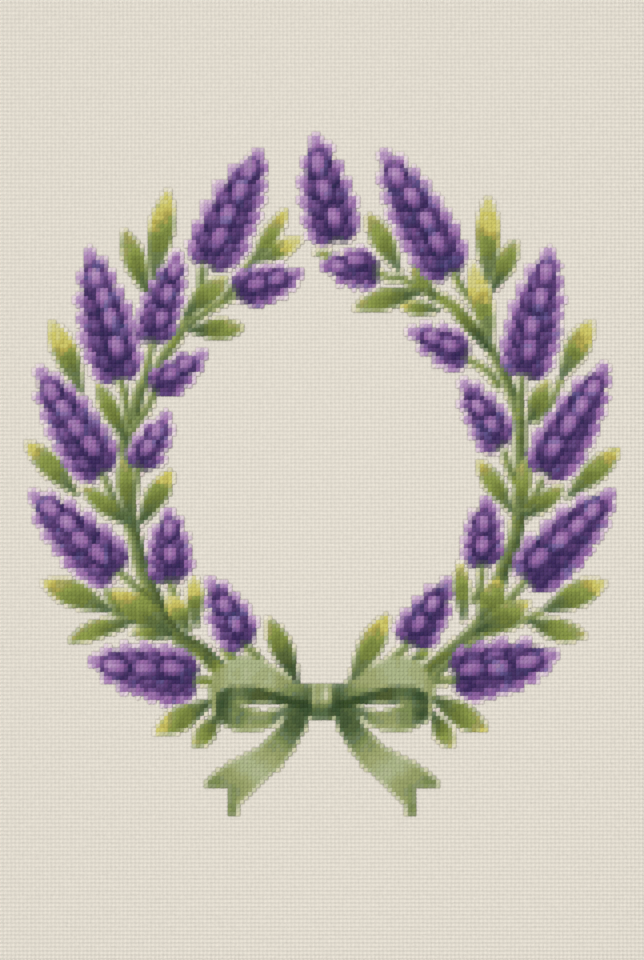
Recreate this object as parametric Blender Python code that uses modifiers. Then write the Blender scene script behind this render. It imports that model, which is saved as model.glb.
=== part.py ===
"""A cross-stitched wreath of lavender, with a ribbon bow, on a hemmed panel of block-weave cloth.

The panel lies face up, its hem on the ground and the top of the wreath towards +Y. Lengths are in
metres. The wreath is charted in stitches, one stitch to a block of the weave: columns count from the
left of the stitched field and rows from its top. Each flower head, leaf, stem and stretch of ribbon
is a patch of floss, whose outline steps from stitch to stitch.
"""

import bmesh
import bpy
import numpy as np

# Driving dimensions
INCH = 0.0254
BLOCKS_PER_INCH = 14
PITCH = INCH / BLOCKS_PER_INCH
COLUMNS = 161
ROWS = 240
MARGIN_BLOCKS = 5
CLOTH_THICKNESS = 0.0007
HEM_WIDTH = 0.0075
FOLD_RADIUS = 0.0003
GAP = 0.0003
FLOSS_HEIGHT = 0.0007
REVERSE_THICKNESS = 0.0003
REVERSE_BLOCK = 3

PANEL_WIDTH = (COLUMNS + 2 * MARGIN_BLOCKS) * PITCH
PANEL_LENGTH = (ROWS + 2 * MARGIN_BLOCKS) * PITCH
FACE = 2 * CLOTH_THICKNESS
PATCH_THICKNESS = FLOSS_HEIGHT - GAP

# The chart. Places are (column, row) in stitches, and so are widths.
# A flower head: the foot of its axis, its tip, its width.
HEADS = {
    "head_top": ((84, 61), (78.6, 33.6), 12.8),
    "head_top_right": ((113, 69), (95.5, 37.5), 13.5),
    "head_right_upper": ((130.5, 94.5), (137.5, 62), 13),
    "head_right_middle": ((135.5, 119), (151.5, 91), 13),
    "head_right_lower": ((131, 145.5), (153.5, 122.5), 13.5),
    "head_bottom_right": ((113, 169), (139.5, 163.5), 13.5),
    "head_bottom_left": ((49.5, 170), (22, 165), 13.5),
    "head_left_lower": ((29.5, 144), (7.5, 123), 13),
    "head_left_middle": ((26, 119), (9.5, 92), 13),
    "head_left_upper": ((30, 95.5), (22, 62), 13),
    "head_top_left": ((51.5, 67), (65.2, 37.2), 13.5),
    "bud_top_right": ((95, 67.5), (80, 66.5), 9.5),
    "bud_right_1": ((117.5, 89), (102, 82.5), 9.5),
    "bud_right_2": ((126, 112), (115.5, 95), 10),
    "bud_right_3": ((120.5, 142), (121.5, 124), 9.5),
    "bud_right_4": ((102, 161.5), (112.5, 144.5), 10),
    "bud_left_4": ((61.5, 162), (52, 144.5), 10),
    "bud_left_3": ((42.5, 146), (42, 127), 10.5),
    "bud_left_2": ((34.5, 117.5), (42, 103), 8.5),
    "bud_left_1": ((38, 98), (51.5, 88), 8),
    "bud_left_0": ((37.5, 86), (44.5, 63), 9.5),
    "bud_top_left": ((58.5, 73.5), (75.5, 68), 9.5),
}

# A stem: its route from the ground of the bunch up, its width there and at its end.
LEFT_STEMS = [
    ([(54.5, 167), (50.5, 163), (45, 159.5), (41, 155.5), (38.5, 149), (35.5, 142.5), (34, 136),
      (32.5, 129.5), (31.5, 116.5), (31, 110), (33, 105.5), (35, 97.5), (36.5, 95), (39, 92.5), (40.5, 90),
      (42, 87.5), (44.5, 84), (46, 81), (48, 77), (50, 72.5), (50.5, 67)], 4, 2),
    ([(36, 95), (37, 90.5), (38, 86)], 1.8, 1.8),
    ([(32, 108), (31.5, 102.5), (31, 98.5), (30, 95)], 1.8, 1.8),
    ([(33, 107.5), (36.5, 102.5), (38.5, 98)], 1.8, 1.8),
    ([(46, 82), (50, 79), (54.5, 76), (58.5, 74)], 1.9, 1.8),
    ([(56, 74.5), (60, 69.5), (61, 67.5), (63, 65)], 1.7, 1.6),
    ([(31, 130), (27.5, 123), (25.5, 118.5)], 1.8, 1.8),
    ([(33, 129), (33.5, 122.5), (34.5, 117)], 1.8, 1.8),
    ([(38, 150.5), (33, 146), (29.5, 143)], 2, 1.8),
    ([(46, 155), (44, 150), (42.5, 146)], 1.8, 1.8),
    ([(53, 170.5), (49, 170)], 2, 1.9),
    ([(65.5, 167), (64, 164), (61.5, 162)], 1.8, 1.8),
    ([(38, 157), (34, 155.5), (28, 153)], 1.8, 1.8),
]
RIGHT_STEMS = [
    ([(107.5, 167.5), (113.5, 162.5), (119, 157.5), (123.5, 149), (126, 141.5), (128, 137),
      (129.5, 130.5), (130, 122), (130, 110), (130, 106.5), (129, 102), (127, 96), (124.5, 91),
      (122.5, 87), (119.5, 83), (114.5, 78), (111, 75.5), (107, 72.5), (103.5, 71.5), (100, 69.5),
      (97.5, 69.5), (94, 68)], 4, 1.6),
    ([(121, 79.5), (118, 75.5), (115, 71.5), (113.5, 68)], 1.8, 1.8),
    ([(124.5, 96.5), (122, 93), (117, 90)], 1.8, 1.8),
    ([(130, 104), (130.5, 94)], 1.8, 1.8),
    ([(128.5, 120.5), (127, 116.5), (126, 113)], 1.8, 1.8),
    ([(131, 127), (133.5, 124), (135.5, 120)], 1.8, 1.8),
    ([(118.5, 150), (120, 146.5), (120.5, 142)], 1.8, 1.8),
    ([(126, 151.5), (129, 148), (131, 145.5)], 2, 1.8),
    ([(97, 166), (99, 164), (101.5, 161.5)], 1.8, 1.8),
    ([(108, 170.5), (113.5, 170)], 2, 1.9),
    ([(134, 105), (137.5, 101), (139, 98), (140, 95)], 1.6, 1.6),
    ([(121, 158.5), (126, 157), (131, 155), (135.5, 153)], 1.9, 1.6),
    ([(109, 168.5), (115, 163.5), (120, 159.5)], 2.2, 2.2),
]

# A leaf: its foot, its tip, its width, and how far its middle bows to the right of the way to its tip.
LEFT_SMALL_LEAVES = [
    ((47, 82.5), (61, 82), 4.8, 0),
    ((46, 79), (57, 69.5), 5, -0.5),
    ((32.5, 131), (30.5, 113.5), 4, 0),
    ((32, 111), (24, 95.5), 4, 0),
    ((32.5, 131.5), (20.5, 121.5), 4, 0),
    ((43, 159), (32.5, 158), 2.6, 0),
    ((32, 154), (26, 147), 3, 0),
    ((47.5, 158), (41.8, 148.5), 5, 0),
    ((49, 157), (48.5, 144), 3.8, 0),
    ((51, 164.5), (56, 168), 2.6, 0),
    ((60, 165.5), (55, 162), 2.4, 0),
]
RIGHT_SMALL_LEAVES = [
    ((109, 75.5), (103, 66.5), 3.6, 0),
    ((110, 77.5), (100, 76.5), 3.2, 0),
    ((123, 88.5), (111, 73.5), 3, 0),
    ((129.5, 130), (131.5, 114), 4, 0),
    ((132, 106), (137, 95), 4.5, 0),
    ((131, 129.5), (141, 121.5), 4, 0),
    ((120, 157), (125, 144.5), 5.8, 0),
    ((118.5, 158), (132.5, 150.5), 5.4, 0),
    ((103, 165), (107.5, 162.5), 2.6, 0),
    ((87, 65), (78.5, 63), 2, 0),
]
LEAVES = {
    "leaf_left_01": [((53.5, 175), (38.8, 183.2), 5.5, 0)],
    "leaf_left_02": [((55, 178.5), (48.5, 187), 4.4, 0)],
    "leaf_left_03": [((74.5, 171), (67, 154.5), 5, 0)],
    "leaf_left_04": [((43, 158.5), (28, 147.5), 6, 0)],
    "leaf_left_05": [((34, 155.5), (17, 160.5), 4.2, 1)],
    "leaf_left_06": [((28.5, 153), (10.5, 145.5), 6, 0.3)],
    "leaf_left_07": [((34.5, 131.5), (43, 117.5), 5, 0)],
    "leaf_left_08": [((19.5, 124), (6.5, 110.5), 5, 0.3)],
    "leaf_left_09": [((20.5, 98.5), (12.5, 80), 5.5, 0.3)],
    "leaf_pair_left": [((37, 74), (31, 57.5), 5, 0), ((38, 71), (42, 47.5), 5.8, 0)],
    "leaf_pair_top": [((62.5, 66.5), (72, 52), 3.6, 0), ((64, 65.5), (75.5, 59.5), 4, 0)],
    "leaf_right_01": [((107.5, 174), (122, 182.8), 5.5, 0)],
    "leaf_right_02": [((108, 178), (113, 187), 4.2, 0)],
    "leaf_right_03": [((87.5, 171), (97, 153.5), 5.5, 0)],
    "leaf_right_04": [((116, 155.5), (115, 140.5), 3.6, 0)],
    "leaf_right_05": [((135.5, 153), (151.5, 145.5), 6, -0.3)],
    "leaf_right_06": [((131.5, 155), (146.5, 159), 5, 0.3)],
    "leaf_right_07": [((128.5, 128.5), (119.5, 115), 4.4, 0)],
    "leaf_right_08": [((141.5, 124.5), (155, 112), 5, 0)],
    "leaf_right_09": [((140, 95), (148, 80), 5.5, 0)],
    "leaf_pair_right": [((123, 73), (129, 60), 4.5, 0), ((122, 71.5), (122, 49), 5.6, 0)],
    "leaf_right_10": [((123, 86.5), (118, 65.5), 5.2, 0)],
    "leaf_right_11": [((106, 73), (88.5, 77), 5, 0.5)],
    "leaf_right_12": [((100, 68), (92, 53.5), 5, 0)],
}

# The bow, which is alike on both sides of BOW_AXIS. Its outlines are (distance from the axis, row).
BOW_AXIS = 80.5
KNOT_HALF_WIDTH = 2.7
KNOT_ROWS = (171, 180)
RIBBON_TAIL = [
    (3, 177), (4, 181.5), (6.5, 186), (10, 191), (14.5, 195), (18.5, 198.5), (21, 201), (21.5, 204),
    (23.5, 204), (23.5, 197), (29, 197), (28.5, 195), (24, 191.5), (19.5, 189), (15.5, 187),
    (12.5, 184), (10, 181), (8.5, 178),
]
RIBBON_FOLDS = {
    "ribbon_under": [
        (2.5, 176), (8, 176.5), (11, 177.5), (15, 178), (18.5, 177), (22.5, 176), (24, 175),
        (26.5, 176.5), (26.5, 179.5), (24.5, 181), (21, 182.5), (16, 182.5), (12, 181), (9.5, 179),
        (6, 178.5), (2.5, 179),
    ],
    "ribbon_inside": [
        (2.5, 174), (7, 173.5), (12, 173), (16.5, 171), (20.5, 170.5), (24, 172), (27, 174),
        (26.5, 178), (24.5, 180), (23, 178.5), (22, 177), (18.5, 176), (14, 175.5), (8, 176.5),
        (2.5, 177),
    ],
    "ribbon_loop": [
        (2.5, 171.5), (7, 170.5), (12, 167), (17, 164.5), (21, 164.5), (25, 166.5), (27.5, 170),
        (28, 174), (27, 178.5), (26.5, 178), (26.5, 174.5), (25, 172), (21, 171.5), (17.5, 171.5),
        (12, 173), (6.5, 174.5), (2.5, 174.5),
    ],
}

# How the shapes are drawn: samples along a stitch, the least cover that is stitched, points of a curve
FINE = 4
LEAST_COVER = 0.06
CURVE_STEPS = 12

# A leaf's blade: how far past its middle it is widest, how blunt it is, half its width at the foot
LEAF_FULLNESS = 1.3
LEAF_BLUNTNESS = 0.8
LEAF_FOOT = 0.3

# Flower heads. Half-widths as shares of a head's half-width, at shares of the way from foot to tip.
HEAD_STATIONS = (0, 0.04, 0.12, 0.25, 0.42, 0.58, 0.72, 0.85, 0.94, 1)
HEAD_SHARES = (0.40, 0.66, 0.90, 1, 1, 0.92, 0.80, 0.60, 0.38, 0.10)
BODY_INSET = 1.5
BODY_WAY = (0.02, 0.93)
LARGE_HEAD = 12
HEAD_REACH = 2
LIGHT_FROM = (-0.45, -0.89)

# Their florets, in stitches. The lit side of a large head has longer steps from one to the next.
FLORET_LONG = 6.8
FLORET_WIDE = 3.2
FLORET_STEP = 4.9
LIT_STEP = 0.7
BUD_FLORET_LONG = 5.4
BUD_FLORET_WIDE = 2.8
BUD_FLORET_STEP = 4.2
FIRST_FLORET = 4.6
LAST_FLORET = 1
ROW_SHORT = 5.4
COUNT_SHORT = 3
FLORET_WANDER = 0.3
FLORET_REACH = (0.97, 1.05)
FLORET_LEAN = (22, 32)
TIP_FLORET_OUT = 0.1

# An egg: how blunt its ends are, its fullness at the middle and what it gains towards its tip. Florets
# keep within a head's half-width times a share and a little more, except past the last part of the way.
EGG_BLUNTNESS = 3.2
EGG_FULLNESS = 0.88
EGG_GAIN = 0.2
ROOM_SHARE = 1.12
ROOM_MORE = 0.3
ROOM_END = 0.9

# Colours
CLOTH = (223, 217, 205)
VIOLET = (104, 74, 132)
STEM_GREEN = (104, 120, 66)
LEAF_GREEN = (116, 130, 66)
REVERSE_MAUVE = (120, 108, 126)
RIBBON_COLOURS = {
    "ribbon_tail": (112, 134, 92),
    "ribbon_under": (126, 146, 96),
    "ribbon_inside": (52, 78, 50),
    "ribbon_loop": (152, 170, 116),
    "ribbon_knot": (92, 112, 76),
}
FLOSS_ROUGHNESS = 0.55
CLOTH_ROUGHNESS = 0.9


# Drawing on the chart
def window(points, reach):
    """The part of the chart within reach of the points: its slices, and the places of its samples."""
    first = np.maximum(np.floor((np.min(points, axis=0) - reach) * FINE), 0).astype(int)
    last = np.maximum(np.ceil((np.max(points, axis=0) + reach) * FINE), 0).astype(int)
    rows = slice(first[1], min(last[1], ROWS * FINE))
    columns = slice(first[0], min(last[0], COLUMNS * FINE))
    x = (np.arange(columns.start, columns.stop) + 0.5) / FINE
    y = (np.arange(rows.start, rows.stop) + 0.5) / FINE
    return (rows, columns), *np.meshgrid(x, y)


def axis_of(foot, tip):
    """The foot, the length, and the unit vectors along the way to the tip and to its right."""
    foot = np.array(foot, float)
    along = np.array(tip, float) - foot
    length = np.hypot(*along)
    along /= length
    return foot, length, along, np.array((-along[1], along[0]))


def smooth(points, closed):
    """A Catmull-Rom curve through the points."""
    points = np.array(points, float)
    if closed:
        before, after, end = np.roll(points, 1, 0), np.roll(points, -1, 0), np.roll(points, -2, 0)
    else:
        ends = np.vstack([2 * points[0] - points[1], points, 2 * points[-1] - points[-2]])
        before, points, after, end = ends[:-3], ends[1:-2], ends[2:-1], ends[3:]
    t = (np.arange(CURVE_STEPS) / CURVE_STEPS)[None, :, None]
    before, points, after, end = (array[:, None, :] for array in (before, points, after, end))
    slope = after - before
    curve = 2 * points - 5 * points * t**2 + 3 * points * t**3
    curve += slope * t + 2 * before * t**2 - before * t**3
    curve += 4 * after * t**2 - 3 * after * t**3 - end * t**2 + end * t**3
    return (curve / 2).reshape(-1, 2)


def leaf_blade(foot, tip, width, bow):
    """A blade whose half-width is a sine of the way to its tip, widest past the middle."""
    foot, length, along, side = axis_of(foot, tip)
    place, x, y = window([foot, tip], width)
    way = ((x - foot[0]) * along[0] + (y - foot[1]) * along[1]) / length
    across = (x - foot[0]) * side[0] + (y - foot[1]) * side[1]
    inner = np.clip(way, 0, 1)
    across = across - 4 * bow * inner * (1 - inner)
    half = width / 2 * np.sin(np.pi * inner**LEAF_FULLNESS) ** LEAF_BLUNTNESS + LEAF_FOOT * (1 - inner)
    return place, (way > 0) & (way < 1) & (np.abs(across) < half)


def stem(route, foot_width, end_width):
    """A band round a smooth route, whose width runs from its foot's to its end's."""
    curve = smooth(route, closed=False)
    place, x, y = window(curve, foot_width)
    distance = np.hypot(x[..., None] - curve[:, 0], y[..., None] - curve[:, 1])
    half = np.linspace(foot_width, end_width, len(curve)) / 2
    return place, (distance < half).any(-1)


def head_half_width(way, width):
    """Half the width of a flower head at a part of the way from its foot to its tip."""
    return width / 2 * np.interp(way, HEAD_STATIONS, HEAD_SHARES)


def florets(length, width, side, draw):
    """The outer florets of a head: the tip's distance along the axis and across it, and its lean."""
    large = width > LARGE_HEAD
    rows = []
    for sign in (-1, 1):
        lit = sign * (LIGHT_FROM[0] * side[0] + LIGHT_FROM[1] * side[1])
        step = FLORET_STEP + LIT_STEP * lit if large else BUD_FLORET_STEP
        count = round((length - COUNT_SHORT) / step)
        for k in range(count):
            distance = FIRST_FLORET + (k + (sign > 0) / 2) * (length - ROW_SHORT) / count
            distance += draw.uniform(-FLORET_WANDER, FLORET_WANDER)
            across = sign * head_half_width(distance / length, width) * draw.uniform(*FLORET_REACH)
            lean = sign * np.radians(draw.uniform(*FLORET_LEAN))
            if distance < length - LAST_FLORET:
                rows.append((distance, across, lean))
    rows.append((length + TIP_FLORET_OUT, 0, 0))
    return rows


def flower_head(foot, tip, width, draw):
    """A slim body with egg-shaped florets that lean outwards along both its sides, and one at its tip."""
    foot, length, along, side = axis_of(foot, tip)
    place, x, y = window([foot, tip], width / 2 + HEAD_REACH)
    way = ((x - foot[0]) * along[0] + (y - foot[1]) * along[1]) / length
    across = (x - foot[0]) * side[0] + (y - foot[1]) * side[1]
    half = head_half_width(np.clip(way, 0, 1), width)
    cover = (way > BODY_WAY[0]) & (way < BODY_WAY[1]) & (np.abs(across) < half - BODY_INSET)
    room = (way > 0) & ((np.abs(across) < half * ROOM_SHARE + ROOM_MORE) | (way > ROOM_END))
    large = width > LARGE_HEAD
    long = FLORET_LONG if large else BUD_FLORET_LONG
    wide = FLORET_WIDE if large else BUD_FLORET_WIDE
    for distance, offset, lean in florets(length, width, side, draw):
        point = foot + along * distance + side * offset
        heading = along * np.cos(lean) + side * np.sin(lean)
        from_middle = x - point[0] + heading[0] * long / 2, y - point[1] + heading[1] * long / 2
        a = (from_middle[0] * heading[0] + from_middle[1] * heading[1]) / (long / 2)
        b = from_middle[1] * heading[0] - from_middle[0] * heading[1]
        fullness = EGG_FULLNESS + EGG_GAIN * a
        egg = wide / 2 * np.clip(1 - np.abs(a) ** EGG_BLUNTNESS, 0, 1) ** 0.5 * fullness
        cover |= (np.abs(b) < egg) & room
    return place, cover


def outlined(outline):
    """The samples inside a closed outline: those from which a ray crosses it an odd number of times."""
    start = np.array(outline, float)
    end = np.roll(start, -1, axis=0)
    place, x, y = window(start, 1)
    odd = np.zeros(x.shape, bool)
    for (x0, y0), (x1, y1) in zip(start, end):
        if y0 != y1:
            odd ^= ((y0 > y) != (y1 > y)) & (x < (x1 - x0) * (y - y0) / (y1 - y0) + x0)
    return place, odd


def bow_side(outline, sign):
    """An outline of the bow on one side of its axis, in columns and rows."""
    outline = np.array(outline, float)
    return np.stack([BOW_AXIS + sign * outline[:, 0], outline[:, 1]], axis=-1)


def draw_chart():
    """Paints every shape over those that lie under it, and gives the names of the patches too."""
    chart = np.zeros((ROWS * FINE, COLUMNS * FINE), int)
    names = []

    def paint(name, place, cover):
        if name not in names:
            names.append(name)
        chart[place][cover] = names.index(name) + 1

    for name, stems, leaves in (
        ("stems_left", LEFT_STEMS, LEFT_SMALL_LEAVES),
        ("stems_right", RIGHT_STEMS, RIGHT_SMALL_LEAVES),
    ):
        for route in stems:
            paint(name, *stem(*route))
        for leaf in leaves:
            paint(name, *leaf_blade(*leaf))
    for name, blades in LEAVES.items():
        for blade in blades:
            paint(name, *leaf_blade(*blade))
    for number, (name, head) in enumerate(HEADS.items()):
        paint(name, *flower_head(*head, np.random.default_rng(number)))
    for sign, side in ((-1, "left"), (1, "right")):
        paint(f"ribbon_tail_{side}", *outlined(bow_side(RIBBON_TAIL, sign)))
        for name, outline in RIBBON_FOLDS.items():
            paint(f"{name}_{side}", *outlined(bow_side(smooth(outline, closed=True), sign)))
    left, right = BOW_AXIS - KNOT_HALF_WIDTH, BOW_AXIS + KNOT_HALF_WIDTH
    top, bottom = KNOT_ROWS
    paint("ribbon_knot", *outlined([(left, top), (right, top), (right, bottom), (left, bottom)]))
    return chart, names


# From the drawing to stitches
def neighbours(row, column):
    return (row - 1, column), (row + 1, column), (row, column - 1), (row, column + 1)


def groups(cells):
    """Splits a set of stitches into groups that hold together edge to edge, the largest first."""
    left = set(cells)
    found = []
    while left:
        group = [left.pop()]
        for cell in group:
            for beside in neighbours(*cell):
                if beside in left:
                    left.remove(beside)
                    group.append(beside)
        found.append(group)
    return sorted(found, key=len, reverse=True)


def count_stitches(chart, names):
    """The stitches of each patch: a stitch goes to the patch that covers most of it."""
    blocks = chart.reshape(ROWS, FINE, COLUMNS, FINE)
    covers = np.stack([(blocks == number).mean((1, 3)) for number in range(1, len(names) + 1)])
    owner = np.where(covers.sum(0) > LEAST_COVER, covers.argmax(0) + 1, 0)
    for _ in range(3):
        for number in range(1, len(names) + 1):
            for stray in groups(map(tuple, np.argwhere(owner == number)))[1:]:
                beside = [owner[cell] for place in stray for cell in neighbours(*place)]
                beside = [other for other in beside if other not in (0, number)]
                green = [other for other in beside if names[other - 1].startswith(("leaf", "stem"))]
                heir = max(green or beside, key=beside.count, default=0)
                owner[tuple(np.transpose(stray))] = heir
    return {name: groups(map(tuple, np.argwhere(owner == k + 1)))[0] for k, name in enumerate(names)}


def outline_loops(cells, inset):
    """The borders of a group of stitches, drawn in by inset, as corners in columns and rows."""
    cells = set(cells)
    ways_on = {}
    for row, column in cells:
        corners = (column, row), (column + 1, row), (column + 1, row + 1), (column, row + 1)
        outside = (row - 1, column), (row, column + 1), (row + 1, column), (row, column - 1)
        for k, beyond in enumerate(outside):
            if beyond not in cells:
                ways_on.setdefault(corners[k], []).append(corners[(k + 1) % 4])
    loops = []
    while ways_on:
        start = next(corner for corner, ways in ways_on.items() if len(ways) == 1)
        path = [start]
        heading = None
        while path[-1] in ways_on:
            x, y = path[-1]
            ways = ways_on[x, y]
            if heading and len(ways) > 1:
                ways.sort(key=lambda way: (way[0] - x, way[1] - y) != (-heading[1], heading[0]))
            chosen = ways.pop(0)
            if not ways:
                del ways_on[x, y]
            heading = (chosen[0] - x, chosen[1] - y)
            path.append(chosen)
            if chosen == start:
                break
        path.pop()
        corners = np.array(path, float)
        into = corners - np.roll(corners, 1, 0)
        out = np.roll(corners, -1, 0) - corners
        turns = (into != out).any(1)
        normal = np.stack([-(into + out)[:, 1], (into + out)[:, 0]], axis=-1)
        loops.append((corners + inset * normal)[turns])
    return loops


# The solids
def to_linear(colour):
    """The linear colour that a Principled BSDF takes, from eight-bit red, green and blue."""
    shares = np.array(colour) / 255
    linear = np.where(shares > 0.04045, ((shares + 0.055) / 1.055) ** 2.4, shares / 12.92)
    return (*linear, 1)


def make_material(name, colour, roughness):
    material = bpy.data.materials.new(name)
    material.use_nodes = True
    shader = material.node_tree.nodes["Principled BSDF"]
    shader.inputs["Base Color"].default_value = to_linear(colour)
    shader.inputs["Roughness"].default_value = roughness
    shader.inputs["Metallic"].default_value = 0
    return material


def add_patch(collection, name, cells, bottom, thickness, material, block=1):
    """A flat plate of floss over a group of stitches: a filled 2D curve that is given a thickness."""
    curve = bpy.data.curves.new(name, "CURVE")
    curve.dimensions = "2D"
    curve.fill_mode = "BOTH"
    for loop in outline_loops(cells, GAP / 2 / PITCH / block):
        spline = curve.splines.new("POLY")
        spline.points.add(len(loop) - 1)
        spline.use_cyclic_u = True
        for point, (column, row) in zip(spline.points, loop * block):
            point.co = ((column - COLUMNS / 2) * PITCH, (ROWS / 2 - row) * PITCH, 0, 1)
    outline = bpy.data.objects.new(name, curve)
    collection.objects.link(outline)
    mesh = bpy.data.meshes.new_from_object(outline.evaluated_get(bpy.context.evaluated_depsgraph_get()))
    bpy.data.objects.remove(outline)
    fill = bmesh.new()
    fill.from_mesh(mesh)
    bmesh.ops.beautify_fill(fill, faces=fill.faces, edges=fill.edges)
    fill.to_mesh(mesh)
    fill.free()
    mesh.name = name
    mesh.materials.clear()
    mesh.materials.append(material)
    patch = bpy.data.objects.new(name, mesh)
    patch.location.z = bottom + thickness / 2
    plate = patch.modifiers.new("thickness", "SOLIDIFY")
    plate.thickness = thickness
    plate.offset = 0
    collection.objects.link(patch)


def add_cloth(collection):
    """One thickness of cloth, with its edges folded under all round as a hem that it rests on."""
    bpy.ops.mesh.primitive_cube_add(size=1, location=(0, 0, FACE - CLOTH_THICKNESS / 2))
    cloth = bpy.context.object
    cloth.name = cloth.data.name = "cloth"
    cloth.scale = (PANEL_WIDTH, PANEL_LENGTH, CLOTH_THICKNESS)
    bpy.ops.object.transform_apply(location=True, rotation=False, scale=True)
    shape = bmesh.new()
    shape.from_mesh(cloth.data)
    under = [face for face in shape.faces if face.normal.z < -0.5]
    hem = bmesh.ops.inset_region(shape, faces=under, thickness=HEM_WIDTH, use_even_offset=True)["faces"]
    folded = bmesh.ops.extrude_face_region(shape, geom=hem)["geom"]
    corners = [part for part in folded if isinstance(part, bmesh.types.BMVert)]
    bmesh.ops.translate(shape, verts=corners, vec=(0, 0, -CLOTH_THICKNESS))
    bmesh.ops.delete(shape, geom=hem, context="FACES")
    shape.to_mesh(cloth.data)
    shape.free()
    fold = cloth.modifiers.new("rounded folds", "BEVEL")
    fold.width = FOLD_RADIUS
    fold.segments = 2
    cloth.data.materials.append(make_material("cloth", CLOTH, CLOTH_ROUGHNESS))
    for old in cloth.users_collection:
        old.objects.unlink(cloth)
    collection.objects.link(cloth)


def main():
    for old in list(bpy.data.objects):
        bpy.data.objects.remove(old)
    collection = bpy.data.collections.new("cross_stitched_wreath_panel")
    bpy.context.scene.collection.children.link(collection)

    add_cloth(collection)
    chart, names = draw_chart()
    stitches = count_stitches(chart, names)
    colours = {"head": VIOLET, "bud": VIOLET, "leaf": LEAF_GREEN, "stems": STEM_GREEN}
    for name, cells in stitches.items():
        plain = name.removesuffix("_left").removesuffix("_right")
        colour = RIBBON_COLOURS.get(plain) or colours[name.split("_")[0]]
        material = make_material(name, colour, FLOSS_ROUGHNESS)
        add_patch(collection, name, cells, FACE + GAP, PATCH_THICKNESS, material)

    stitched = [cell for cells in stitches.values() for cell in cells]
    coarse = groups({(row // REVERSE_BLOCK, column // REVERSE_BLOCK) for row, column in stitched})[0]
    bottom = CLOTH_THICKNESS - GAP - REVERSE_THICKNESS
    material = make_material("reverse_threads", REVERSE_MAUVE, FLOSS_ROUGHNESS)
    add_patch(
        collection, "reverse_threads", coarse, bottom, REVERSE_THICKNESS, material, REVERSE_BLOCK
    )


main()
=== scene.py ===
# %% [markdown]
# # A wreath of lavender in cross stitch
#
# This lesson makes a hemmed panel of cotton cloth with a wreath of lavender sprigs worked on it in
# cross stitch. On the real panel each stitch is two legs of floss that cross over one square block of
# the weave, so the picture is a chart of squares, and the chart is where the work starts. The lesson
# draws the wreath with formulas, counts it out into stitches, gives each stitch the nearest floss,
# and then makes every leg of floss as a small solid. The plain model of the panel is loaded first,
# because every new piece has to lie where that model says.

import bpy
import numpy as np
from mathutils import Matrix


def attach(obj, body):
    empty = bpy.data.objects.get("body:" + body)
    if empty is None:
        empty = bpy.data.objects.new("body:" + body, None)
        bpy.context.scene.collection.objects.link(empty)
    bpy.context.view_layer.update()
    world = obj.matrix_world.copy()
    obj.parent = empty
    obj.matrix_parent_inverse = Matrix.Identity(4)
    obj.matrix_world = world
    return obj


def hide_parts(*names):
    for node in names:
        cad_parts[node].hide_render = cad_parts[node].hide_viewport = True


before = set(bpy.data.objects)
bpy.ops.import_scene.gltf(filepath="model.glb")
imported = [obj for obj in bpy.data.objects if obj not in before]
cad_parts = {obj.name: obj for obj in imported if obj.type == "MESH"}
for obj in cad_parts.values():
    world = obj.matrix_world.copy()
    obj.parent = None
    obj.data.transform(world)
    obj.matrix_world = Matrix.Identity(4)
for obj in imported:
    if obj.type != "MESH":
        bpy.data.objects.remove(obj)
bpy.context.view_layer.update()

# %% [markdown]
# ## The cloth and its chart
#
# Cloth for cross stitch is woven in blocks of threads with a hole at each corner, and it is sold by
# its blocks to the inch. Fourteen is the usual count for a picture like this one. The chart has 161
# columns and 240 rows, one stitch to a block, and five plain blocks are left round it. All places on
# the chart are given as (column, row), counted from its upper left corner, so that a shape can be
# written down the way a stitcher would read it. The face lies two thicknesses of cloth above the floor,
# because the rim is folded under as a hem.

# %% Sizes of the cloth and the chart
INCH = 0.0254
BLOCKS_PER_INCH = 14
PITCH = INCH / BLOCKS_PER_INCH
COLUMNS, ROWS = 161, 240
MARGIN_BLOCKS = 5
CLOTH_THICKNESS = 0.0007
HEM_WIDTH = 0.0075
FACE = 2 * CLOTH_THICKNESS
PANEL = np.array([COLUMNS + 2 * MARGIN_BLOCKS, ROWS + 2 * MARGIN_BLOCKS]) * PITCH
print("panel:", np.round(1000 * PANEL, 1), "mm")


def on_cloth(column, row, height):
    """Points on the cloth, in metres: the middle of the chart is the middle of the panel."""
    return np.stack([(column - COLUMNS / 2) * PITCH, (ROWS / 2 - row) * PITCH, height], axis=-1)


# %% [markdown]
# ## Where the sprigs lie
#
# The wreath has eleven large heads of flowers on its outer side and eleven small ones, or buds, on its
# inner side, with stems and leaves between them. A head is written as the foot of its axis, its tip
# and its width, with the middles of the few florets that face the light. A stem is a route with a
# width at each end. A leaf is its foot, its tip, its width and how far its middle bows to one side, and
# then its colours: how much of it is gold, which edge is brown, and how dark its foot is.

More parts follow.
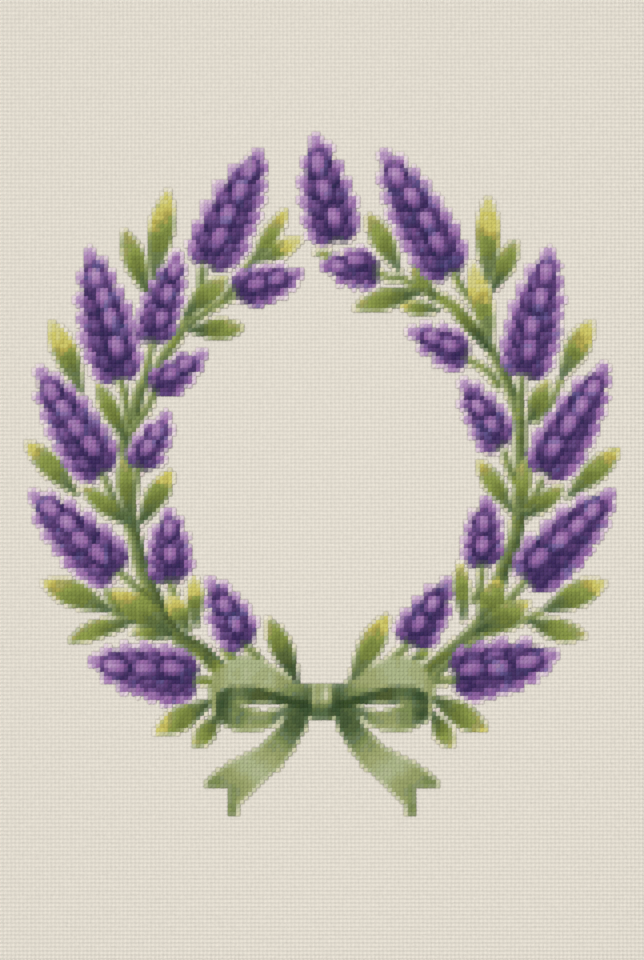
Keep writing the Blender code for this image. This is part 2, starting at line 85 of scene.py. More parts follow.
# %% Heads of flowers
HEADS = {
    "head_top": ((84, 61), (78.6, 33.6), 12.8),
    "head_top_right": ((113, 69), (95.5, 37.5), 13.5),
    "head_right_upper": ((130.5, 94.5), (137.5, 62), 13),
    "head_right_middle": ((135.5, 119), (151.5, 91), 13),
    "head_right_lower": ((131, 145.5), (153.5, 122.5), 13.5),
    "head_bottom_right": ((113, 169), (139.5, 163.5), 13.5),
    "head_bottom_left": ((49.5, 170), (22, 165), 13.5),
    "head_left_lower": ((29.5, 144), (7.5, 123), 13),
    "head_left_middle": ((26, 119), (9.5, 92), 13),
    "head_left_upper": ((30, 95.5), (22, 62), 13),
    "head_top_left": ((51.5, 67), (65.2, 37.2), 13.5),
    "bud_top_right": ((95, 67.5), (80, 66.5), 9.5),
    "bud_right_1": ((117.5, 89), (102, 82.5), 9.5),
    "bud_right_2": ((126, 112), (115.5, 95), 10),
    "bud_right_3": ((120.5, 142), (121.5, 124), 9.5),
    "bud_right_4": ((102, 161.5), (112.5, 144.5), 10),
    "bud_left_4": ((61.5, 162), (52, 144.5), 10),
    "bud_left_3": ((42.5, 146), (42, 127), 10.5),
    "bud_left_2": ((34.5, 117.5), (42, 103), 8.5),
    "bud_left_1": ((38, 98), (51.5, 88), 8),
    "bud_left_0": ((37.5, 86), (44.5, 63), 9.5),
    "bud_top_left": ((58.5, 73.5), (75.5, 68), 9.5),
}

# %% Florets that face the light
AXIS_FLORETS = {
    "head_top": [(79.6, 41.3), (81, 47.6), (83.6, 54.8)],
    "head_top_right": [(99.4, 44.3), (103.2, 49.5), (107, 55.5), (109.6, 61)],
    "head_right_upper": [(136.5, 68.5), (135, 75), (132.8, 82), (132.2, 87.6)],
    "head_right_middle": [(148, 97.5), (145, 102), (142, 106.4), (138.2, 112)],
    "head_right_lower": [(147.7, 128), (144, 131.8), (140, 135.2), (134.6, 139.6)],
    "head_bottom_right": [(131.8, 165.4), (124.4, 167), (117.7, 167.3)],
    "head_bottom_left": [(29, 166.6), (36.5, 167), (43.4, 167)],
    "head_left_lower": [(12.8, 127.4), (17.2, 131.2), (20.6, 135.3), (25, 138.8)],
    "head_left_middle": [(13, 98.3), (16.2, 102.8), (19.2, 107.2), (23, 111.7)],
    "head_left_upper": [(24, 69.8), (26, 75), (27.7, 80.2), (29.2, 87)],
    "head_top_left": [(62, 42.8), (59.8, 48), (56.6, 54), (54.4, 59.8)],
    "bud_top_right": [(84.6, 66.6), (89.2, 65)],
    "bud_right_1": [(108.4, 84.4), (112.6, 86.3)],
    "bud_right_2": [(119.6, 102), (123, 106.4)],
    "bud_right_3": [(120.8, 131), (120.6, 136.6)],
    "bud_right_4": [(108, 151.2), (104.6, 156)],
    "bud_left_4": [(56.3, 151.6), (59, 156.2)],
    "bud_left_3": [(42.3, 132.4), (42.5, 138.8)],
    "bud_left_2": [(39, 108.2), (36.8, 112)],
    "bud_left_1": [(46, 91.2), (42.4, 93.6)],
    "bud_left_0": [(43.6, 67.6), (41.8, 73.6), (40.2, 79.8)],
    "bud_top_left": [(69, 69.6), (63.8, 71)],
}

# %% Stems
LEFT_STEMS = [
    ([(54.5, 167), (50.5, 163), (45, 159.5), (41, 155.5), (38.5, 149), (35.5, 142.5), (34, 136),
      (32.5, 129.5), (31.5, 116.5), (31, 110), (33, 105.5), (35, 97.5), (36.5, 95), (39, 92.5), (40.5, 90),
      (42, 87.5), (44.5, 84), (46, 81), (48, 77), (50, 72.5), (50.5, 67)], 4, 2),
    ([(36, 95), (37, 90.5), (38, 86)], 1.8, 1.8),
    ([(32, 108), (31.5, 102.5), (31, 98.5), (30, 95)], 1.8, 1.8),
    ([(33, 107.5), (36.5, 102.5), (38.5, 98)], 1.8, 1.8),
    ([(46, 82), (50, 79), (54.5, 76), (58.5, 74)], 1.9, 1.8),
    ([(56, 74.5), (60, 69.5), (61, 67.5), (63, 65)], 1.7, 1.6),
    ([(31, 130), (27.5, 123), (25.5, 118.5)], 1.8, 1.8),
    ([(33, 129), (33.5, 122.5), (34.5, 117)], 1.8, 1.8),
    ([(38, 150.5), (33, 146), (29.5, 143)], 2, 1.8),
    ([(46, 155), (44, 150), (42.5, 146)], 1.8, 1.8),
    ([(53, 170.5), (49, 170)], 2, 1.9),
    ([(65.5, 167), (64, 164), (61.5, 162)], 1.8, 1.8),
    ([(38, 157), (34, 155.5), (28, 153)], 1.8, 1.8),
]
RIGHT_STEMS = [
    ([(107.5, 167.5), (113.5, 162.5), (119, 157.5), (123.5, 149), (126, 141.5), (128, 137),
      (129.5, 130.5), (130, 122), (130, 110), (130, 106.5), (129, 102), (127, 96), (124.5, 91),
      (122.5, 87), (119.5, 83), (114.5, 78), (111, 75.5), (107, 72.5), (103.5, 71.5), (100, 69.5),
      (97.5, 69.5), (94, 68)], 4, 1.6),
    ([(121, 79.5), (118, 75.5), (115, 71.5), (113.5, 68)], 1.8, 1.8),
    ([(124.5, 96.5), (122, 93), (117, 90)], 1.8, 1.8),
    ([(130, 104), (130.5, 94)], 1.8, 1.8),
    ([(128.5, 120.5), (127, 116.5), (126, 113)], 1.8, 1.8),
    ([(131, 127), (133.5, 124), (135.5, 120)], 1.8, 1.8),
    ([(118.5, 150), (120, 146.5), (120.5, 142)], 1.8, 1.8),
    ([(126, 151.5), (129, 148), (131, 145.5)], 2, 1.8),
    ([(97, 166), (99, 164), (101.5, 161.5)], 1.8, 1.8),
    ([(108, 170.5), (113.5, 170)], 2, 1.9),
    ([(134, 105), (137.5, 101), (139, 98), (140, 95)], 1.6, 1.6),
    ([(121, 158.5), (126, 157), (131, 155), (135.5, 153)], 1.9, 1.6),
    ([(109, 168.5), (115, 163.5), (120, 159.5)], 2.2, 2.2),
]

# %% Leaves
LEFT_SMALL_LEAVES = [
    ((47, 82.5), (61, 82), 4.8, 0, 0, 0, 0.5),
    ((46, 79), (57, 69.5), 5, -0.5, 0.1, -1, 0.4),
    ((32.5, 131), (30.5, 113.5), 4, 0, 0, 0, 0.4),
    ((32, 111), (24, 95.5), 4, 0, 0, 0, 0.4),
    ((32.5, 131.5), (20.5, 121.5), 4, 0, 0, 0, 0.5),
    ((43, 159), (32.5, 158), 2.6, 0, 0, 0, 0.6),
    ((32, 154), (26, 147), 3, 0, 0.1, 0, 0.5),
    ((47.5, 158), (41.8, 148.5), 5, 0, 0.5, 0, 0.3),
    ((49, 157), (48.5, 144), 3.8, 0, 0.45, -1, 0.4),
    ((51, 164.5), (56, 168), 2.6, 0, 0, 0, 0.5),
    ((60, 165.5), (55, 162), 2.4, 0, 0, 0, 0),
]
RIGHT_SMALL_LEAVES = [
    ((109, 75.5), (103, 66.5), 3.6, 0, 0, 0, 0.3),
    ((110, 77.5), (100, 76.5), 3.2, 0, 0.3, 0, 0.3),
    ((123, 88.5), (111, 73.5), 3, 0, 0, 0, 0.9),
    ((129.5, 130), (131.5, 114), 4, 0, 0, 0, 0.2),
    ((132, 106), (137, 95), 4.5, 0, 0, 0, 0.4),
    ((131, 129.5), (141, 121.5), 4, 0, 0, 0, 0.5),
    ((120, 157), (125, 144.5), 5.8, 0, 0.25, -1, 0.4),
    ((118.5, 158), (132.5, 150.5), 5.4, 0, 0.15, 1, 0.5),
    ((103, 165), (107.5, 162.5), 2.6, 0, 0, 0, 0.2),
    ((87, 65), (78.5, 63), 2, 0, 0, 0, 0),
]
LEAVES = {
    "leaf_left_01": [((53.5, 175), (38.8, 183.2), 5.5, 0, 0.25, 1, 0.5)],
    "leaf_left_02": [((55, 178.5), (48.5, 187), 4.4, 0, 0, 0, 0.5)],
    "leaf_left_03": [((74.5, 171), (67, 154.5), 5, 0, 0, 0, 0.9)],
    "leaf_left_04": [((43, 158.5), (28, 147.5), 6, 0, 0.34, 1, 0.4)],
    "leaf_left_05": [((34, 155.5), (17, 160.5), 4.2, 1, 0.1, 0, 0.3)],
    "leaf_left_06": [((28.5, 153), (10.5, 145.5), 6, 0.3, 0.3, 0, 0.3)],
    "leaf_left_07": [((34.5, 131.5), (43, 117.5), 5, 0, 0.35, -1, 0.5)],
    "leaf_left_08": [((19.5, 124), (6.5, 110.5), 5, 0.3, 0.25, 0, 0.3)],
    "leaf_left_09": [((20.5, 98.5), (12.5, 80), 5.5, 0.3, 0.5, 0, 0.3)],
    "leaf_pair_left": [
        ((37, 74), (31, 57.5), 5, 0, 0, 0, 0.3),
        ((38, 71), (42, 47.5), 5.8, 0, 0.42, -1, 0.3),
    ],
    "leaf_pair_top": [
        ((62.5, 66.5), (72, 52), 3.6, 0, 0.3, 1, 0.1),
        ((64, 65.5), (75.5, 59.5), 4, 0, 0.5, 0, 0.1),
    ],
    "leaf_right_01": [((107.5, 174), (122, 182.8), 5.5, 0, 0.2, 0, 0.5)],
    "leaf_right_02": [((108, 178), (113, 187), 4.2, 0, 0, 0, 0.5)],
    "leaf_right_03": [((87.5, 171), (97, 153.5), 5.5, 0, 0.35, -1, 0.3)],
    "leaf_right_04": [((116, 155.5), (115, 140.5), 3.6, 0, 0.25, 0, 0.3)],
    "leaf_right_05": [((135.5, 153), (151.5, 145.5), 6, -0.3, 0.35, 0, 0.3)],
    "leaf_right_06": [((131.5, 155), (146.5, 159), 5, 0.3, 0.1, 0, 0.3)],
    "leaf_right_07": [((128.5, 128.5), (119.5, 115), 4.4, 0, 0.25, 0, 0.3)],
    "leaf_right_08": [((141.5, 124.5), (155, 112), 5, 0, 0.3, 0, 0.3)],
    "leaf_right_09": [((140, 95), (148, 80), 5.5, 0, 0.45, 1, 0.3)],
    "leaf_pair_right": [
        ((123, 73), (129, 60), 4.5, 0, 0, 0, 0.5),
        ((122, 71.5), (122, 49), 5.6, 0, 0.5, 1, 0.2),
    ],
    "leaf_right_10": [((123, 86.5), (118, 65.5), 5.2, 0, 0.55, 0, 0)],
    "leaf_right_11": [((106, 73), (88.5, 77), 5, 0.5, 0, 0, 0.5)],
    "leaf_right_12": [((100, 68), (92, 53.5), 5, 0, 0.15, 0, 0.3)],
}
print(len(HEADS), "heads,", len(LEFT_STEMS + RIGHT_STEMS), "stems,", len(LEAVES), "groups of leaves")

# %% [markdown]
# The bow is alike on both sides of a line down its middle, so it is written once, as outlines of
# (distance from that line, row). A loop of ribbon shows three faces: the outer face over the top, the
# dark inside, and the lower stretch that comes back to the knot. Under it hangs a tail with a notch
# cut in its end.

# %% The ribbon
BOW_AXIS = 80.5
KNOT_HALF_WIDTH = 2.7
KNOT_ROWS = (171, 180)
RIBBON_TAIL = [
    (3, 177), (4, 181.5), (6.5, 186), (10, 191), (14.5, 195), (18.5, 198.5), (21, 201), (21.5, 204),
    (23.5, 204), (23.5, 197), (29, 197), (28.5, 195), (24, 191.5), (19.5, 189), (15.5, 187),
    (12.5, 184), (10, 181), (8.5, 178),
]
RIBBON_UNDER = [
    (2.5, 176), (8, 176.5), (11, 177.5), (15, 178), (18.5, 177), (22.5, 176), (24, 175),
    (26.5, 176.5), (26.5, 179.5), (24.5, 181), (21, 182.5), (16, 182.5), (12, 181), (9.5, 179),
    (6, 178.5), (2.5, 179),
]
RIBBON_INSIDE = [
    (2.5, 174), (7, 173.5), (12, 173), (16.5, 171), (20.5, 170.5), (24, 172), (27, 174),
    (26.5, 178), (24.5, 180), (23, 178.5), (22, 177), (18.5, 176), (14, 175.5), (8, 176.5),
    (2.5, 177),
]
RIBBON_LOOP = [
    (2.5, 171.5), (7, 170.5), (12, 167), (17, 164.5), (21, 164.5), (25, 166.5), (27.5, 170),
    (28, 174), (27, 178.5), (26.5, 178), (26.5, 174.5), (25, 172), (21, 171.5), (17.5, 171.5),
    (12, 173), (6.5, 174.5), (2.5, 174.5),
]

# %% [markdown]
# ## Drawing tools
#
# The drawing is sampled finer than the stitches, four samples along each side of a block, so that a
# stitch on the edge of a shape can take a colour between the shape's and the cloth's. That is what
# the real chart does: pale edge stitches soften the stepped outline. Each shape is a small window of
# samples with a cover, which says where it lies, and a colour. The colour comes from a tone, from 0 in
# the deepest shade to 1 in full light, which is read off along a row of colours from dark to light.

# %% Windows, curves and shades
FINE = 4
CURVE_STEPS = 12


def window(points, reach):
    """The part of the chart within reach of the points: its slices, and the places of its samples."""
    first = np.maximum(np.floor((np.min(points, axis=0) - reach) * FINE), 0).astype(int)
    last = np.maximum(np.ceil((np.max(points, axis=0) + reach) * FINE), 0).astype(int)
    rows = slice(first[1], min(last[1], ROWS * FINE))
    columns = slice(first[0], min(last[0], COLUMNS * FINE))
    x = (np.arange(columns.start, columns.stop) + 0.5) / FINE
    y = (np.arange(rows.start, rows.stop) + 0.5) / FINE
    return (rows, columns), *np.meshgrid(x, y)


def axis_of(foot, tip):
    """The foot, the length, and the unit vectors along the way to the tip and to its right."""
    foot = np.array(foot, float)
    along = np.array(tip, float) - foot
    length = np.hypot(*along)
    along /= length
    return foot, length, along, np.array((-along[1], along[0]))


def way_and_across(x, y, foot, length, along, side):
    """Each sample's share of the way from the foot to the tip, and its distance across that way."""
    way = ((x - foot[0]) * along[0] + (y - foot[1]) * along[1]) / length
    return way, (x - foot[0]) * side[0] + (y - foot[1]) * side[1]


def smooth(points, closed):
    """A Catmull-Rom curve through the points."""
    points = np.array(points, float)
    if closed:
        before, after, end = np.roll(points, 1, 0), np.roll(points, -1, 0), np.roll(points, -2, 0)
    else:
        ends = np.vstack([2 * points[0] - points[1], points, 2 * points[-1] - points[-2]])
        before, points, after, end = ends[:-3], ends[1:-2], ends[2:-1], ends[3:]
    t = (np.arange(CURVE_STEPS) / CURVE_STEPS)[None, :, None]
    before, points, after, end = (array[:, None, :] for array in (before, points, after, end))
    slope = after - before
    curve = 2 * points - 5 * points * t**2 + 3 * points * t**3
    curve += slope * t + 2 * before * t**2 - before * t**3
    curve += 4 * after * t**2 - 3 * after * t**3 - end * t**2 + end * t**3
    return (curve / 2).reshape(-1, 2)


def shade(tone, colours):
    """The colour at a tone from 0 to 1 along a row of colours, from the darkest to the lightest."""
    colours = np.array(colours, float)
    places = np.linspace(0, 1, len(colours))
    return np.stack([np.interp(tone, places, channel) for channel in colours.T], axis=-1)


def scatter(x, y, seed):
    """A number from 0 to 1 for each whole place, from the broken part of a large sine."""
    value = np.sin(np.floor(x) * 12.9898 + np.floor(y) * 78.233 + seed * 37.719) * 43758.5453
    return value - np.floor(value)


def mottle(x, y, size, seed):
    """Soft patches of that size: scattered numbers at the corners of a grid, blended between them."""
    x, y = x / size, y / size
    across, down = x - np.floor(x), y - np.floor(y)
    across, down = across**2 * (3 - 2 * across), down**2 * (3 - 2 * down)
    upper = scatter(x, y, seed) * (1 - across) + scatter(x + 1, y, seed) * across
    lower = scatter(x, y + 1, seed) * (1 - across) + scatter(x + 1, y + 1, seed) * across
    return upper * (1 - down) + lower * down


# %% [markdown]
# ## Leaves and stems
#
# A leaf is a blade whose half-width is a sine of the way to its tip. Its colour runs the way a young
# leaf's does in a botanical drawing: a dark blue-green foot, an olive middle, a bright yellow-green
# part and, on some, a tip that has turned gold, with brown along one edge. The light comes from the
# upper left in the whole picture, so the edge that faces it is a little lighter. From here on, lengths
# are in stitches, and what makes a tone lighter or darker is a share of the whole range of tones.

# %% Leaf and stem
CLOTH_COLOUR = (223, 217, 205)
LEAF_GREENS = [
    (58, 78, 38), (82, 98, 48), (102, 116, 56), (118, 132, 64), (136, 148, 74), (154, 160, 94),
    (178, 178, 122),
]
FOOT_GREENS = [(56, 80, 52), (82, 106, 70), (106, 126, 92), (132, 146, 112), (160, 166, 134)]
GOLDS = [(132, 122, 58), (158, 148, 74), (180, 168, 80), (197, 190, 102), (208, 203, 124)]
LIGHT_FROM = (-0.45, -0.89)
LEAF_FULLNESS = 1.3
LEAF_BLUNTNESS = 0.8
LEAF_FOOT = 0.3
LEAST_HALF = 0.2
LEAF_TONE, TIP_PALER, FOOT_DARKER = 0.34, 0.42, 0.5
EDGE_LIGHT, LEAF_PATCHES = 0.12, 0.16
RIB_DARKER, RIB_WIDTH = 0.08, 0.22
LEAF_CONTRAST, LEAF_LIFT = 1.38, -0.13
COOL_SHARE, COOL_START, COOL_FALL, COOL_LIFT = 0.8, 1.15, 2.6, 0.14
GOLD_TONE, GOLD_RISE, GOLD_PATCHES, GOLD_BLEND = 0.5, 1.2, 0.22, 0.14
GOLD_WANDER, BROWN_LEAD = 0.2, 0.08
BROWN_EDGE, BROWN_LINE, LINE_AT, LINE_WIDE = 0.3, 0.4, 0.05, 0.07
SPECKS_LEFT_OUT = 0.45
STEM_TONE, STEM_ROUND, STEM_PATCHES, STEM_END_PALER = 0.6, 0.34, 0.14, 0.1
STEM_CONTRAST, STEM_LIFT = 1.4, -0.28
THICK_DARKER, THICK_FROM = 0.22, 0.7
STEM_COOL, STEM_COOL_LIFT = 0.55, 0.1


def turned_gold(colour, way, edge, x, y, gold, brown, seed):
    """Gold over the last part of a blade, speckled brown where it begins and along one edge."""
    reach = way + GOLD_WANDER * (mottle(x, y, 1.6, seed + 3) - 0.5) + BROWN_LEAD * brown * edge
    reach = reach - (1 - gold)
    line = BROWN_LINE * np.exp(-(((reach - LINE_AT) / LINE_WIDE) ** 2))
    speckled = scatter(x, y, seed + 11) > SPECKS_LEFT_OUT
    specks = (BROWN_EDGE * np.clip(brown * edge, 0, 1) + line) * speckled
    tone = GOLD_TONE + GOLD_RISE * reach + GOLD_PATCHES * (scatter(x, y, seed + 9) - 0.5) - specks
    turned = np.clip(reach / GOLD_BLEND, 0, 1)[..., None]
    return colour * (1 - turned) + shade(tone, GOLDS) * turned


def leaf_blade(foot, tip, width, bow, gold, brown, dark, seed):
    """A blade whose half-width is a sine of the way to its tip, widest past the middle."""
    foot, length, along, side = axis_of(foot, tip)
    place, x, y = window([foot, tip], width)
    way, across = way_and_across(x, y, foot, length, along, side)
    inner = np.clip(way, 0, 1)
    across = across - 4 * bow * inner * (1 - inner)
    half = width / 2 * np.sin(np.pi * inner**LEAF_FULLNESS) ** LEAF_BLUNTNESS + LEAF_FOOT * (1 - inner)
    cover = (way > 0) & (way < 1) & (np.abs(across) < half)

    edge = across / np.maximum(half, LEAST_HALF)
    lit = edge * (side[0] * LIGHT_FROM[0] + side[1] * LIGHT_FROM[1])
    patches = mottle(x, y, 1.5, seed) - 0.5
    tone = LEAF_TONE + TIP_PALER * inner - FOOT_DARKER * dark * (1 - inner)
    tone += EDGE_LIGHT * lit
    tone += LEAF_PATCHES * patches
    tone -= RIB_DARKER * (np.abs(edge) < RIB_WIDTH) * (1 - inner)
    tone = LEAF_CONTRAST * tone + LEAF_LIFT
    colour = shade(tone, LEAF_GREENS)
    cool = COOL_SHARE * np.clip(COOL_START - COOL_FALL * inner, 0, 1)[..., None]
    colour = colour * (1 - cool) + shade(tone + COOL_LIFT, FOOT_GREENS) * cool
    if gold:
        colour = turned_gold(colour, inner, edge, x, y, gold, brown, seed)
    return place, cover, colour


def stem(route, foot_width, end_width, seed):
    """A band round a smooth route, whose width runs from its foot's to its end's, darker on its right."""
    curve = smooth(route, closed=False)
    place, x, y = window(curve, foot_width)
    away = x[..., None] - curve[:, 0], y[..., None] - curve[:, 1]
    distance = np.hypot(*away)
    half = np.linspace(foot_width, end_width, len(curve)) / 2
    cover = (distance < half).any(-1)
    nearest = distance.argmin(-1)[..., None]
    lean = np.take_along_axis(away[0], nearest, -1)[..., 0] / half[nearest[..., 0]]
    tone = STEM_TONE - STEM_ROUND * np.clip(lean, -1, 1) + STEM_PATCHES * (mottle(x, y, 2, seed) - 0.5)
    tone += STEM_END_PALER * (nearest[..., 0] / len(curve) - 0.4)
    tone = STEM_CONTRAST * tone + STEM_LIFT
    tone -= THICK_DARKER * np.clip(half[nearest[..., 0]] - THICK_FROM, 0, 1)
    colour = shade(tone, LEAF_GREENS)
    cool = STEM_COOL * mottle(x, y, 5, seed + 1)[..., None]
    return place, cover, colour * (1 - cool) + shade(tone + STEM_COOL_LIFT, FOOT_GREENS) * cool


# %% [markdown]
# ## Heads of lavender
#
# A head is a dark, slim body set with florets. Those along its two sides are the lightest, and they
# lean outwards and make the scalloped outline. Darker ones lie between, and a row of broad ones runs
# down the axis and faces the light.
# Each floret is an egg that is lighter towards its own tip, and it throws a shadow on what lies behind
# it, which is what keeps neighbours apart at this coarse scale. They are painted from the tip of the
# head to its foot, so that each overlaps the one above, and the row down the axis comes last.

# %% Florets of a head
HEAD_STATIONS = (0, 0.04, 0.12, 0.25, 0.42, 0.58, 0.72, 0.85, 0.94, 1)
HEAD_SHARES = (0.40, 0.66, 0.90, 1, 1, 0.92, 0.80, 0.60, 0.38, 0.10)
LARGE_HEAD = 12
FLORET_LONG, FLORET_WIDE, FLORET_STEP, LIT_STEP = 6.8, 3.2, 4.9, 0.7
BUD_FLORET_LONG, BUD_FLORET_WIDE, BUD_FLORET_STEP = 5.4, 2.8, 4.2
FIRST_FLORET, LAST_FLORET, ROW_SHORT, COUNT_SHORT, TIP_FLORET_OUT = 4.6, 1, 5.4, 3, 0.1
FLORET_WANDER = 0.3
FLORET_REACH = (0.97, 1.05)
FLORET_LEAN = (22, 32)
OUTER_LIGHT, TIP_LIGHT, AXIS_LIGHT, SIDE_LIGHT = 0.77, 0.74, 0.64, 0.07
INNER_BACK, INNER_OUT, INNER_LEAN, INNER_DARKER = 1.8, 0.52, 0.5, (0.26, 0.44)
INNER_SIZE, AXIS_SIZE = (0.8, 0.92), (0.95, 1.3)
OUTER_SHADE, AXIS_SHADE = (0.42, 0.16), (0.24, 0.3)


def head_half_width(way, width):
    """Half the width of a flower head at a part of the way from its foot to its tip."""
    return width / 2 * np.interp(way, HEAD_STATIONS, HEAD_SHARES)


def outer_florets(length, width, side, draw):
    """Rows of (tip's distance along the axis, distance across it, lean, light) for the outline."""
    large = width > LARGE_HEAD
    rows = []
    for sign in (-1, 1):
        lit = sign * (LIGHT_FROM[0] * side[0] + LIGHT_FROM[1] * side[1])
        step = FLORET_STEP + LIT_STEP * lit if large else BUD_FLORET_STEP
        count = round((length - COUNT_SHORT) / step)
        for k in range(count):
            distance = FIRST_FLORET + (k + (sign > 0) / 2) * (length - ROW_SHORT) / count
            distance += draw.uniform(-FLORET_WANDER, FLORET_WANDER)
            across = sign * head_half_width(distance / length, width) * draw.uniform(*FLORET_REACH)
            lean = sign * np.radians(draw.uniform(*FLORET_LEAN))
            if distance < length - LAST_FLORET:
                rows.append((distance, across, lean, OUTER_LIGHT + SIDE_LIGHT * lit))
    rows.append((length + TIP_FLORET_OUT, 0, 0, TIP_LIGHT))
    return rows


def inner_florets(rows, draw):
    """Below each outer floret, one that lies half as far out, leans half as much and is darker."""
    return [
        (
            distance - INNER_BACK,
            across * INNER_OUT,
            lean * INNER_LEAN,
            light - draw.uniform(*INNER_DARKER),
        )
        for distance, across, lean, light in rows[:-1]
    ]


def axis_florets(middles, foot, along, side, long):
    """Those that face the light, each with its tip half a floret beyond its middle."""
    places = np.array(middles) - foot
    return [
        (distance + long / 2, across, 0, AXIS_LIGHT)
        for distance, across in zip(places @ along, places @ side)
    ]


# %% [markdown]
# Two rows of colours are enough for the whole flower: one from near black to pale lilac, and a bluer
# one for the odd stitches that look into the shade. At the foot of each head a few stitches turn
# green, where the head sits on its stem.

# %% Painting a head
VIOLETS = [
    (46, 32, 80), (64, 45, 94), (86, 57, 112), (108, 74, 134), (132, 90, 152), (152, 110, 166),
    (175, 139, 185), (206, 184, 204),
]
BLUE_VIOLETS = [
    (46, 42, 88), (68, 62, 112), (90, 84, 138), (112, 104, 158), (140, 130, 180), (176, 164, 200),
]
CALYX_GREEN = (78, 92, 72)
BODY_INSET = 1.5
BODY_WAY = (0.02, 0.93)
HEAD_REACH = 2
EGG_BLUNTNESS, EGG_FULLNESS, EGG_GAIN = 3.2, 0.88, 0.2
ROOM_SHARE, ROOM_MORE, ROOM_END = 1.12, 0.3, 0.9
SHADOW = 0.6
DEPTH_OF_SHADOW = 0.55
BODY_TONE, BODY_PATCHES, BODY_RISE = 0.16, 0.2, 0.1
EGG_LIGHT, FACING_LIGHT, ROUND_LEVEL = 0.94, 0.13, 0.6
HEAD_FOOT_LIGHT, HEAD_RISE = 0.86, 0.16
CONTRAST, LIFT, FLOWER_PATCHES = 1.25, -0.075, 0.16
BLUE_SHARE, BLUE_GAIN, BLUE_LESS = 0.8, 5, 3.4
CALYX_LONG, CALYX_WIDE, CALYX_SPREAD, CALYX_SHARE = 2.4, 2.2, 1.5, 0.85
TINT_SEED = 500


def egg_and_shadow(right, down, heading, long, wide):
    """How far along a floret each sample lies and how far off its axis, and where egg and shadow lie.

    The way along runs from -1 at its foot to 1 at its tip. An egg's half-width is the square root of one
    less a power of that way, a little fuller towards the tip, and its shadow is wider and longer.
    """
    on = (right * heading[0] + down * heading[1]) / (long / 2)
    off = np.abs(down * heading[0] - right * heading[1])
    egg = wide / 2 * np.clip(1 - np.abs(on) ** EGG_BLUNTNESS, 0, 1) ** 0.5
    egg = egg * (EGG_FULLNESS + EGG_GAIN * on)
    reach = np.abs(on) * long / (long + 2 * SHADOW)
    shadow = (wide / 2 + SHADOW) * np.clip(1 - reach**EGG_BLUNTNESS, 0, 1) ** 0.5
    return on, off, off < egg, off < shadow


def flower_head(foot, tip, width, middles, seed):
    """A slim body with egg-shaped florets that lean outwards along both its sides, and one at its tip."""
    draw, tints = np.random.default_rng(seed), np.random.default_rng(seed + TINT_SEED)
    foot, length, along, side = axis_of(foot, tip)
    place, x, y = window([foot, tip], width / 2 + HEAD_REACH)
    way, across = way_and_across(x, y, foot, length, along, side)
    half = head_half_width(np.clip(way, 0, 1), width)
    cover = (way > BODY_WAY[0]) & (way < BODY_WAY[1]) & (np.abs(across) < half - BODY_INSET)
    room = (way > 0) & ((np.abs(across) < half * ROOM_SHARE + ROOM_MORE) | (way > ROOM_END))
    tone = BODY_TONE + BODY_PATCHES * mottle(x, y, 1.7, seed) + BODY_RISE * way
    large = width > LARGE_HEAD
    long = FLORET_LONG if large else BUD_FLORET_LONG
    wide = FLORET_WIDE if large else BUD_FLORET_WIDE

    outer = outer_florets(length, width, side, draw)
    size = long * INNER_SIZE[0], wide * INNER_SIZE[1]
    florets = [(*row, *size, *OUTER_SHADE) for row in inner_florets(outer, tints)]
    florets += [(*row, long, wide, *OUTER_SHADE) for row in outer]
    florets.sort(reverse=True)
    size = long * AXIS_SIZE[0], wide * AXIS_SIZE[1]
    florets += [(*row, *size, *AXIS_SHADE) for row in axis_florets(middles, foot, along, side, size[0])]
    for distance, offset, lean, light, floret_long, floret_wide, slope, roundness in florets:
        point = foot + along * distance + side * offset
        heading = along * np.cos(lean) + side * np.sin(lean)
        right = x - point[0] + heading[0] * floret_long / 2
        down = y - point[1] + heading[1] * floret_long / 2
        up = (right * LIGHT_FROM[0] + down * LIGHT_FROM[1]) / (floret_long / 2)
        on, off, egg, shadow = egg_and_shadow(right, down, heading, floret_long, floret_wide)
        tone = np.where(shadow & cover, tone * DEPTH_OF_SHADOW, tone)
        lit = light * (EGG_LIGHT - slope * (1 - on) / 2) + FACING_LIGHT * up
        lit -= roundness * (on**2 + (2 * off / floret_wide) ** 2 - ROUND_LEVEL)
        lit = lit * (HEAD_FOOT_LIGHT + HEAD_RISE * distance / length)
        tone = np.where(egg & room, lit, tone)
        cover |= egg & room
    tone = CONTRAST * tone + LIFT + FLOWER_PATCHES * (mottle(x, y, 1.2, seed + 7) - 0.5)
    colour = shade(tone, VIOLETS)
    blue = BLUE_SHARE * np.clip(mottle(x, y, 2.4, seed + 5) * BLUE_GAIN - BLUE_LESS, 0, 1)[..., None]
    colour = colour * (1 - blue) + shade(tone, BLUE_VIOLETS) * blue
    near_foot = np.clip(1 - way * length / CALYX_LONG, 0, 1)
    near_foot = near_foot * np.clip(CALYX_SPREAD - np.abs(across) / CALYX_WIDE, 0, 1)
    green = CALYX_SHARE * near_foot[..., None]
    return place, cover, colour * (1 - green) + np.array(CALYX_GREEN) * green


# %% [markdown]
# ## Ribbon
#
# A satin ribbon shows its folds by tone: pale where it turns to the light, nearly black-green inside
# the loop and where it goes into the knot. The tones are read off along the distance from the middle
# of the bow on the loops, along the way to the end on the tails, and down the rows on the knot.

